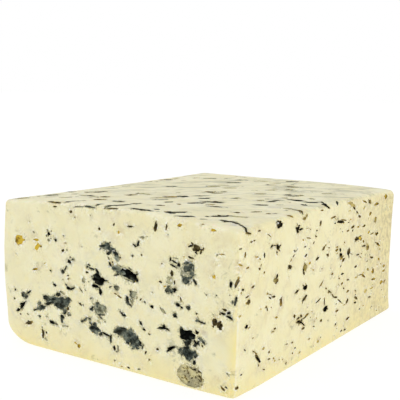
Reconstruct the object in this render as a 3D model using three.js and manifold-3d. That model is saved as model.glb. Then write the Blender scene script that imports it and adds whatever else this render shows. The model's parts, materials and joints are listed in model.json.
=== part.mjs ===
// A cut block of blue-veined cheese: one solid, with its larger mould-lined holes as real relief.
//
// Units are millimetres, +Z is up and the origin is the middle of the base. The -Y, +X, +Z and +Y
// faces are wire cuts with slightly softened edges. The -X side is the loaf's own, so its lower
// edge keeps the wide rounding of the cheese mould.

import Module from "manifold-3d";
import * as THREE from "three";
import { mergeVertices } from "three/addons/utils/BufferGeometryUtils.js";

const { clamp, degToRad, lerp, smoothstep } = THREE.MathUtils;

// Driving dimensions.
const WIDTH = 113; // along X
const DEPTH = 150; // along Y
const HEIGHT = 60; // along Z
const CUT_RADIUS = 2; // rounding of the cut edges
const MOULD_REACH = 15; // how far in the moulded edge runs on the underside
const MOULD_RISE = 8; // and how far up the side
const MOULD_FADE = 30; // distance over which the moulded edge turns into a cut edge
const CORNER_RADIUS = 3.2; // rounding of the softest corners
const CORNER_FADE = 20; // distance over which it turns into that of the cut edges

// How the soft block departs from a true box.
const SIDE_SWELL = 1.6; // the -X side bulges, most at half height
const SIDE_LEAN = 1.2; // and leans outward from its foot to its top
const LEAN_PIVOT = 0.4; // about this share of its height
const BACK_HOLLOW = 2.9; // the +Y side is hollow, most at half height
const BACK_LIP = 1; // and spreads again at its foot
const LIP_HEIGHT = 8;
const FRONT_CROWN = 2.8; // the top arches along its front edge
const BACK_CROWN = 0.6; // and its back edge, most towards the right
const RIGHT_CROWN = 1.5; // and its right edge
const LEFT_SAG = 0.4; // but sags along its left edge
const BACK_RISE = 0.7; // and rises towards the back
const FRONT_LIFT = 0.3; // the front edge's foot leaves the table
const LIFT_REACH = 20;

// The sizes of the surface cells, and the cells across one rounding.
const CELL = 14;
const ROUND_CELLS = 2;

// A hole is the gap between the curd grains round it, which cut it back to a ragged star.
const GRAINS = 10;
const GRAIN_RADIUS = [1.6, 3.4];
const GRAIN_NEAR = [0.72, 1.06]; // how near a grain comes to the middle, as a share of the hole's reach
const SPIKE_REACH = 1.2; // how far the hole reaches between two grains, as such a share
const WALL_ROUGH = 0.1;
const DEPTH_BASE = 0.6;
const DEPTH_SHARE = 0.46; // of the hole's mean size
const HOLE_SINK = 0.16; // the hole's centre lies this share of its depth below the face
const HOLE_DETAIL_SIZES = [3, 7]; // a hole past each of these mean sizes takes more faces

// Each face is written as seen from outside: the corner where its sizes start, the ways that run
// across and up it, and how long it is each way.
const X = new THREE.Vector3(1, 0, 0);
const Y = new THREE.Vector3(0, 1, 0);
const Z = new THREE.Vector3(0, 0, 1);
const FACES = {
  front: { corner: [-WIDTH / 2, -DEPTH / 2, 0], across: X, up: Z, size: [WIDTH, HEIGHT] },
  right: { corner: [WIDTH / 2, -DEPTH / 2, 0], across: Y, up: Z, size: [DEPTH, HEIGHT] },
  top: { corner: [-WIDTH / 2, -DEPTH / 2, HEIGHT], across: X, up: Y, size: [WIDTH, DEPTH] },
  back: { corner: [WIDTH / 2, DEPTH / 2, 0], across: X.clone().negate(), up: Z, size: [WIDTH, HEIGHT] },
  left: { corner: [-WIDTH / 2, DEPTH / 2, 0], across: Y.clone().negate(), up: Z, size: [DEPTH, HEIGHT] },
};

// The larger holes: across, up, length, height, and the tilt of the length in degrees.
const HOLES = {
  front: [
    [9.7, 43.6, 4.2, 3.5, 10],
    [10.9, 16.4, 5, 1.3, 47],
    [12.2, 20.9, 3.4, 2.1, -10],
    [14.3, 9.8, 4.2, 1.4, 20],
    [19.7, 41.6, 3, 1.9, 55],
    [20.6, 16.9, 4.2, 2, 20],
    [21.8, 6.5, 1.6, 3.2, 0],
    [24.2, 21.2, 3, 2.1, 0],
    [27.5, 21, 6, 2.8, 12],
    [31.5, 19, 5.6, 1.5, -12],
    [31.5, 21, 8.6, 4.2, 5],
    [35.8, 22, 3.8, 2.2, 60],
    [49.4, 13.3, 4.8, 3.1, -20],
    [51.7, 32.5, 5, 3.7, -15],
    [52.3, 21.5, 4.8, 4.5, 0],
    [54.2, 45.1, 3.6, 1.7, 10],
    [56.4, 45, 4.4, 2.6, -30],
    [58.6, 44.2, 3, 1.7, -20],
    [60, 37.7, 4.2, 2.1, 0],
    [60.2, 42.9, 3.8, 2, -40],
    [62.8, 36.7, 3.8, 2.4, 0],
    [64.5, 36.8, 6, 3, -12],
    [65.8, 13.6, 8.4, 3.6, -26],
    [66.8, 15, 3.8, 3.4, 30],
    [67, 36.1, 5.4, 2.9, -20],
    [68, 29.3, 2.9, 2.3, 10],
    [68.2, 13.2, 6, 3.4, -40],
    [69.2, 11, 3.6, 2, 10],
    [70.7, 12.5, 3.4, 2, -45],
    [78, 55.6, 1.4, 3.8, -8],
    [84.7, 37.5, 2.8, 2.6, 0],
    [85.4, 13, 4.2, 1.3, 30],
    [91.6, 38.9, 2.6, 2.6, 0],
    [92.4, 19.4, 5.8, 4.4, -10],
    [92.4, 43.1, 4, 2.6, 15],
    [92.8, 16.8, 2.6, 2.8, 0],
    [93.1, 12.8, 5.2, 4.7, 0],
    [95.8, 50.7, 3.8, 2.3, -10],
    [104, 26.6, 2, 2.6, 0],
    [106, 26.2, 2.2, 2.4, -20],
  ],
  right: [
    [14.9, 11.7, 4.2, 1.5, -50],
    [27.6, 49.7, 2.9, 2, -20],
    [27.6, 57.8, 3.7, 2.6, -10],
    [31.6, 28.4, 2, 3.1, 0],
    [43, 53.9, 3.2, 2, -25],
    [47.8, 17.2, 5, 1.4, -8],
    [51.5, 37.9, 2.4, 3, 0],
    [51.8, 25.8, 4.2, 1.5, 25],
    [52.2, 29.8, 3.6, 1.7, 8],
    [72.3, 17, 3.4, 2.1, 5],
    [83.4, 51.4, 7, 1.2, -8],
    [86.2, 37, 3.2, 1.8, -25],
    [94.4, 57.6, 7, 1.6, -18],
    [94.6, 37, 3.3, 2.9, -20],
    [103.8, 41.6, 5, 1.7, -5],
    [116.2, 56.8, 3.2, 2, 0],
    [117.2, 36.2, 3, 2.3, -25],
    [124.9, 55.2, 4.8, 1.3, 0],
    [125.1, 48, 3.4, 2, 5],
    [125.9, 24, 3.2, 2.3, -10],
    [128.4, 41.1, 3.2, 2, -5],
    [130.6, 35.9, 5.4, 1.3, -20],
    [136.6, 57.6, 3.4, 2.1, 0],
    [138, 16.5, 3.8, 1.8, -5],
  ],
  top: [
    [16.2, 40.2, 7.9, 3.8, 37],
    [26.5, 23, 14, 2, -20],
    [30, 77, 5, 4, 40],
    [34.3, 23.7, 4.1, 4, 32],
    [35.1, 4.9, 4.3, 1.8, 51],
    [37.9, 35.9, 4.9, 3.4, 44],
    [38, 128, 6, 4, 45],
    [40.3, 42.4, 7.9, 2.4, -10],
    [43, 112, 7, 4.6, 45],
    [45, 89, 6, 3.6, 45],
    [49.1, 13.6, 4.8, 3, 35],
    [55.6, 2.3, 6, 1.6, 53],
    [55.7, 40.3, 6.3, 3.2, 41],
    [56.6, 34.9, 10.5, 2.8, 48],
    [57.6, 66.9, 4.4, 4, 55],
    [59.1, 44.2, 4.4, 4, 20],
    [61.9, 71.1, 3.2, 4.4, 55],
    [68.7, 45.5, 4.5, 3, 55],
    [69.2, 2.6, 9.2, 1.9, 7],
    [73.7, 30.8, 6.1, 2.5, 60],
    [75.1, 113.6, 6.2, 4.4, 33],
    [77.7, 39.4, 7.2, 2.8, 20],
    [79.9, 6.2, 1.7, 4.4, 48],
    [81.4, 8.6, 8.1, 2.4, 55],
    [84.1, 30.3, 6, 2, 20],
    [87.7, 4.6, 6.3, 2, 41],
    [88.2, 83.2, 4.3, 3.4, 60],
    [93.1, 58.4, 3.8, 2.4, 60],
    [93.1, 63.2, 4.5, 2, 70],
    [93.6, 47.7, 5.6, 2.2, 44],
    [96, 15, 7.9, 2, 50],
    [98.8, 69.8, 6.7, 3.4, 11],
    [101.6, 9.3, 4.4, 1.8, 3],
    [105, 9.7, 4, 1.5, -8],
    [105.8, 70.2, 5.7, 2.6, 50],
    [108.6, 8, 4, 1, -32],
    [108.6, 73.6, 4, 1.2, -55],
    [111.3, 6.1, 3.6, 1, -35],
    [111.4, 70.2, 4.4, 1.6, -50],
  ],
};

// The faces turned away from the front get holes of the same kind by seeded draws.
const SCATTER = { back: 14, left: 12 };
const SCATTER_MARGIN = 9; // kept free along a face's edges
const SCATTER_LENGTH = [4, 11];
const SCATTER_SLIMNESS = [0.35, 0.8]; // height as a share of length
const SCATTER_TILT = 35;
const SCATTER_SEED = 71;

const GOLDEN_ANGLE = Math.PI * (3 - Math.sqrt(5));

// A seeded generator of numbers from 0 to 1, so that every build gives the same block.
function seededRandom(seed) {
  let state = seed >>> 0;
  return () => {
    state = (state + 0x6d2b79f5) >>> 0;
    let mixed = Math.imul(state ^ (state >>> 15), state | 1);
    mixed ^= mixed + Math.imul(mixed ^ (mixed >>> 7), mixed | 61);
    return ((mixed ^ (mixed >>> 14)) >>> 0) / 4294967296;
  };
}

// 1 at the end of a span, falling smoothly to 0 at the given reach from it.
const nearEnd = (distance, reach) => 1 - smoothstep(distance, 0, reach);

// The corners that are rounded most: far up and near down on the +X side.
const SOFT_CORNERS = [
  [WIDTH / 2, DEPTH / 2, HEIGHT],
  [WIDTH / 2, -DEPTH / 2, 0],
];

// The rounding radii along X, Y and Z at a point of the box.
function roundingAt([x, y, z]) {
  const low = nearEnd(z, MOULD_FADE);
  const moulded = nearEnd(x + WIDTH / 2, MOULD_FADE);
  const fromCorner = Math.min(...SOFT_CORNERS.map(([cx, cy, cz]) => Math.hypot(x - cx, y - cy, z - cz)));
  const cut = lerp(CUT_RADIUS, CORNER_RADIUS, nearEnd(fromCorner, CORNER_FADE));
  return [
    x < 0 ? lerp(cut, MOULD_REACH, low) : cut,
    cut,
    z < HEIGHT / 2 ? lerp(cut, MOULD_RISE, moulded) : cut,
  ];
}

// Moves a point of the true box onto the box with rounded edges.
function roundOff(point) {
  const radii = roundingAt(point);
  const low = [-WIDTH / 2, -DEPTH / 2, 0];
  const high = [WIDTH / 2, DEPTH / 2, HEIGHT];
  const core = point.map((value, k) => clamp(value, low[k] + radii[k], high[k] - radii[k]));
  const offset = point.map((value, k) => (value - core[k]) / radii[k]);
  const length = Math.hypot(...offset);
  return length ? core.map((value, k) => value + (radii[k] * offset[k]) / length) : point;
}

// Bends the rounded box into the soft block. Most of the base stays flat.
function soften([x, y, z]) {
  const rightward = x / WIDTH + 0.5;
  const backward = y / DEPTH + 0.5;
  const upward = z / HEIGHT;
  const arch = (share) => Math.sin(Math.PI * share);
  const belly = arch(upward);
  const crown =
    FRONT_CROWN * arch(rightward) * (1 - backward) +
    BACK_CROWN * arch(rightward ** 2) * backward ** 2 +
    (RIGHT_CROWN * rightward ** 2 - LEFT_SAG * (1 - rightward) ** 2) * arch(backward) +
    BACK_RISE * backward;
  const lift = FRONT_LIFT * arch(rightward) * nearEnd(DEPTH / 2 + y, LIFT_REACH);
  const lean = SIDE_LEAN * (upward - LEAN_PIVOT) * (1 - rightward);
  const side = SIDE_SWELL * belly * (1 - rightward) ** 2 + lean;
  const lip = BACK_LIP * nearEnd(z, LIP_HEIGHT);
  return new THREE.Vector3(
    x - side,
    y + (lip - BACK_HOLLOW * belly) * backward ** 3,
    z + upward * crown + (1 - upward) * lift,
  );
}

const blockPoint = (point) => soften(roundOff(point));

// Cell lines along one span: close together over the rounding at each end, then evenly spaced.
function cellLines(start, end, firstRounding, lastRounding) {
  const roundLines = (rounding) => {
    const reaches = [...new Set([CUT_RADIUS, rounding])];
    return reaches.flatMap((reach, k) => {
      const from = k ? reaches[k - 1] : 0;
      const cells = Array.from({ length: ROUND_CELLS }, (_, step) => step / ROUND_CELLS);
      return cells.map((share) => lerp(from, reach, share));
    });
  };
  const inner = [start + firstRounding, end - lastRounding];
  const cells = Math.round((inner[1] - inner[0]) / CELL);
  const middle = Array.from({ length: cells + 1 }, (_, k) => lerp(...inner, k / cells));
  const first = roundLines(firstRounding).map((inset) => start + inset);
  const last = roundLines(lastRounding).map((inset) => end - inset);
  return [...first, ...middle, ...last.reverse()];
}

// The block's outer surface as a closed shell of triangles.
function blockGeometry() {
  const lines = [
    cellLines(-WIDTH / 2, WIDTH / 2, MOULD_REACH, CUT_RADIUS),
    cellLines(-DEPTH / 2, DEPTH / 2, CUT_RADIUS, CUT_RADIUS),
    cellLines(0, HEIGHT, MOULD_RISE, CUT_RADIUS),
  ];
  const corners = [];
  for (const axis of [0, 1, 2]) {
    const [i, j] = [(axis + 1) % 3, (axis + 2) % 3];
    for (const level of [lines[axis][0], lines[axis].at(-1)]) {
      const pointAt = (a, b) => {
        const point = [];
        point[axis] = level;
        point[i] = lines[i][a];
        point[j] = lines[j][b];
        return blockPoint(point);
      };
      for (let a = 0; a + 1 < lines[i].length; a++) {
        for (let b = 0; b + 1 < lines[j].length; b++) {
          const cell = [pointAt(a, b), pointAt(a + 1, b), pointAt(a + 1, b + 1), pointAt(a, b + 1)];
          if (level === lines[axis][0]) cell.reverse();
          corners.push(cell[0], cell[1], cell[2], cell[0], cell[2], cell[3]);
        }
      }
    }
  }
  return new THREE.BufferGeometry().setFromPoints(corners);
}

// The grains spread round a hole of a mean size: which way each lies, how far off and how large.
function grainsRound(size, random) {
  const reach = Math.max(size / 2, 1);
  const start = 2 * Math.PI * random();
  return Array.from({ length: GRAINS }, (_, k) => {
    const level = 1 - (2 * (k + random())) / GRAINS;
    const turn = start + k * GOLDEN_ANGLE;
    const facing = new THREE.Vector3().setFromSphericalCoords(1, Math.acos(level), turn);
    const radius = lerp(...GRAIN_RADIUS, random()) / reach;
    return { facing, radius, distance: radius + lerp(...GRAIN_NEAR, random()) };
  });
}

// How far a hole of reach 1 goes one way before it meets a grain.
function reachTowards(way, grains) {
  return grains.reduce((reach, { facing, radius, distance }) => {
    const ahead = way.dot(facing) * distance;
    const inside = ahead ** 2 - distance ** 2 + radius ** 2;
    return ahead > 0 && inside > 0 ? Math.min(reach, ahead - Math.sqrt(inside)) : reach;
  }, SPIKE_REACH);
}

// A hole's middle and its half axes, along its length, aside and outward.
function holeFrame(face, [across, up, length, height, tilt = 0]) {
  const outward = face.across.clone().cross(face.up);
  const flat = new THREE.Vector3(...face.corner)
    .addScaledVector(face.across, across)
    .addScaledVector(face.up, up);
  const depth = DEPTH_BASE + DEPTH_SHARE * Math.sqrt(length * height);
  const middle = soften(flat.toArray()).addScaledVector(outward, -HOLE_SINK * depth);
  const along = face.across.clone().applyAxisAngle(outward, degToRad(tilt));
  const aside = face.up.clone().applyAxisAngle(outward, degToRad(tilt));
  const axes = [along, aside, outward];
  [length / 2, height / 2, depth].forEach((reach, k) => axes[k].multiplyScalar(reach));
  return { middle, axes };
}

// One ragged hole as a closed lump, part of it outside the face it opens on.
function holeGeometry(faceName, hole, random) {
  const { middle, axes } = holeFrame(FACES[faceName], hole);
  const size = Math.sqrt(hole[2] * hole[3]);
  const grains = grainsRound(size, random);
  const detail = HOLE_DETAIL_SIZES.filter((least) => size >= least).length;
  const lump = new THREE.IcosahedronGeometry(1, detail);
  lump.deleteAttribute("normal");
  lump.deleteAttribute("uv");
  const geometry = mergeVertices(lump);
  const position = geometry.attributes.position;
  for (let k = 0; k < position.count; k++) {
    const way = new THREE.Vector3().fromBufferAttribute(position, k);
    const reach = reachTowards(way, grains) + WALL_ROUGH * (2 * random() - 1);
    const point = middle.clone();
    way.toArray().forEach((share, axis) => point.addScaledVector(axes[axis], reach * share));
    position.setXYZ(k, ...point);
  }
  return geometry;
}

// Seeded holes for the faces that turn away.
function scatteredHoles(random) {
  const between = ([low, high]) => lerp(low, high, random());
  return Object.entries(SCATTER).flatMap(([face, count]) =>
    Array.from({ length: count }, () => {
      const [wide, tall] = FACES[face].size;
      const across = between([SCATTER_MARGIN, wide - SCATTER_MARGIN]);
      const up = between([SCATTER_MARGIN, tall - SCATTER_MARGIN]);
      const length = between(SCATTER_LENGTH);
      const height = length * between(SCATTER_SLIMNESS);
      return { face, hole: [across, up, length, height, SCATTER_TILT * (2 * random() - 1)] };
    }),
  );
}

// manifold-3d cuts the holes out of the block.
const wasm = await Module();
wasm.setup();

function toSolid(geometry) {
  const merged = mergeVertices(geometry, 1e-4);
  return new wasm.Manifold(
    new wasm.Mesh({
      numProp: 3,
      vertProperties: new Float32Array(merged.attributes.position.array),
      triVerts: new Uint32Array(merged.index.array),
    }),
  );
}

function toGeometry(solid) {
  const { vertProperties, triVerts } = solid.getMesh();
  const geometry = new THREE.BufferGeometry();
  geometry.setAttribute("position", new THREE.BufferAttribute(vertProperties, 3));
  geometry.setIndex(new THREE.BufferAttribute(triVerts, 1));
  geometry.computeVertexNormals();
  return geometry;
}

function cheeseBlock() {
  const random = seededRandom(SCATTER_SEED);
  const placed = Object.entries(HOLES).flatMap(([face, holes]) => holes.map((hole) => ({ face, hole })));
  const holes = [...placed, ...scatteredHoles(random)];
  const cut = holes.reduce(
    (block, { face, hole }) => block.subtract(toSolid(holeGeometry(face, hole, random))),
    toSolid(blockGeometry()),
  );
  // Holes that meet can cut a crumb loose, which is dropped.
  const [solid] = cut.decompose().sort((one, other) => other.volume() - one.volume());
  const paste = new THREE.MeshStandardMaterial({ color: 0xe9e3c0, roughness: 0.55, metalness: 0 });
  const mesh = new THREE.Mesh(toGeometry(solid), paste);
  mesh.name = "cheese_block";
  mesh.geometry.computeBoundingBox();
  const { min, max } = mesh.geometry.boundingBox;
  mesh.position.set(-(min.x + max.x) / 2, -(min.y + max.y) / 2, -min.z);
  return mesh;
}

const group = new THREE.Group();
group.add(cheeseBlock());

export default group;
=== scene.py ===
"""The look of a cut block of blue-veined cheese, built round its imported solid.

The block's form and its larger holes repeat the solid's own named sizes. Lengths are in
millimetres until a mesh is written, in metres.
"""

import functools
import json
import math

import bmesh
import bpy
import numpy as np
from mathutils import Matrix, Vector, bvhtree, kdtree, noise

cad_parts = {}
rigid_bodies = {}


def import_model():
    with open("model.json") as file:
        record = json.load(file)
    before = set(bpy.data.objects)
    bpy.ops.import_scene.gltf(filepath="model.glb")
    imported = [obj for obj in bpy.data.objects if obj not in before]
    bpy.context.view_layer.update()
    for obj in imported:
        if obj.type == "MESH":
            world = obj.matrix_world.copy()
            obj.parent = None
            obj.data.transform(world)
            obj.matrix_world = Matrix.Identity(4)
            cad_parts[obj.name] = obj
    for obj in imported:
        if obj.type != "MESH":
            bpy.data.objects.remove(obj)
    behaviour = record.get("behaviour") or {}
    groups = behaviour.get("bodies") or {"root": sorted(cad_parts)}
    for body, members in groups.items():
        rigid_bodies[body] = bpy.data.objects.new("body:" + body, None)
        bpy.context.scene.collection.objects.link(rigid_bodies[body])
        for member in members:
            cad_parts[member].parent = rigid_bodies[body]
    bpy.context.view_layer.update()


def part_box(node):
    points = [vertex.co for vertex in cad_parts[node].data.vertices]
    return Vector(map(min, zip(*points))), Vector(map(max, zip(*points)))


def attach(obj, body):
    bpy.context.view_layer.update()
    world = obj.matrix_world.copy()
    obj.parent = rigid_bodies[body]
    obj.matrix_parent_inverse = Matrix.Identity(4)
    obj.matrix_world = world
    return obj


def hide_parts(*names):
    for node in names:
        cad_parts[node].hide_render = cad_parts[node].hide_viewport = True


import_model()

METRES = 0.001

# ---- The block's form: the solid's driving dimensions ----
WIDTH = 113.0  # along X
DEPTH = 150.0  # along Y
HEIGHT = 60.0  # along Z
CUT_RADIUS = 2.0  # rounding of the cut edges
MOULD_REACH = 15.0  # how far in the moulded edge runs on the underside
MOULD_RISE = 8.0  # and how far up the -X side
MOULD_FADE = 30.0  # how far from that edge its rounding has faded to that of a cut edge
CORNER_RADIUS = 3.2  # rounding of the softest corners
CORNER_FADE = 20.0
SOFT_CORNERS = ((WIDTH / 2, DEPTH / 2, HEIGHT), (WIDTH / 2, -DEPTH / 2, 0))
SIDE_SWELL = 1.6  # how far the -X side swells
SIDE_LEAN = 1.2  # and leans out at the top
LEAN_PIVOT = 0.4  # as a share of the height
BACK_HOLLOW = 2.9  # how far the back is hollow halfway up
BACK_LIP = 1.0  # how far its foot stands out
LIP_HEIGHT = 8.0
FRONT_CROWN = 2.8  # how far the top arches up at the front
BACK_CROWN = 0.6  # at the back
RIGHT_CROWN = 1.5  # and along the +X edge
LEFT_SAG = 0.4  # how far it sags along the -X edge
BACK_RISE = 0.7  # how much higher the top is at the back
FRONT_LIFT = 0.3  # how far the front's foot arches up
LIFT_REACH = 20.0

CELL = 1.8  # size of a surface cell
ROUND_CELLS = 4  # cells across one rounding
RELIEF = ((14.0, 0.16), (4.0, 0.06))  # wavelength and height of the paste's unevenness
RELIEF_FROM = 2.0  # the height over the base at which the unevenness is full

# Each face as seen from outside: the corner where its sizes start, the ways across and up it,
# the way out of it, and its size each way.
FACES = {
    "front": ((-WIDTH / 2, -DEPTH / 2, 0), (1, 0, 0), (0, 0, 1), (0, -1, 0), (WIDTH, HEIGHT)),
    "right": ((WIDTH / 2, -DEPTH / 2, 0), (0, 1, 0), (0, 0, 1), (1, 0, 0), (DEPTH, HEIGHT)),
    "top": ((-WIDTH / 2, -DEPTH / 2, HEIGHT), (1, 0, 0), (0, 1, 0), (0, 0, 1), (WIDTH, DEPTH)),
    "back": ((WIDTH / 2, DEPTH / 2, 0), (-1, 0, 0), (0, 0, 1), (0, 1, 0), (WIDTH, HEIGHT)),
    "left": ((-WIDTH / 2, DEPTH / 2, 0), (0, -1, 0), (0, 0, 1), (-1, 0, 0), (DEPTH, HEIGHT)),
    "base": ((-WIDTH / 2, DEPTH / 2, 0), (1, 0, 0), (0, -1, 0), (0, 0, -1), (WIDTH, DEPTH)),
}

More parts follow.
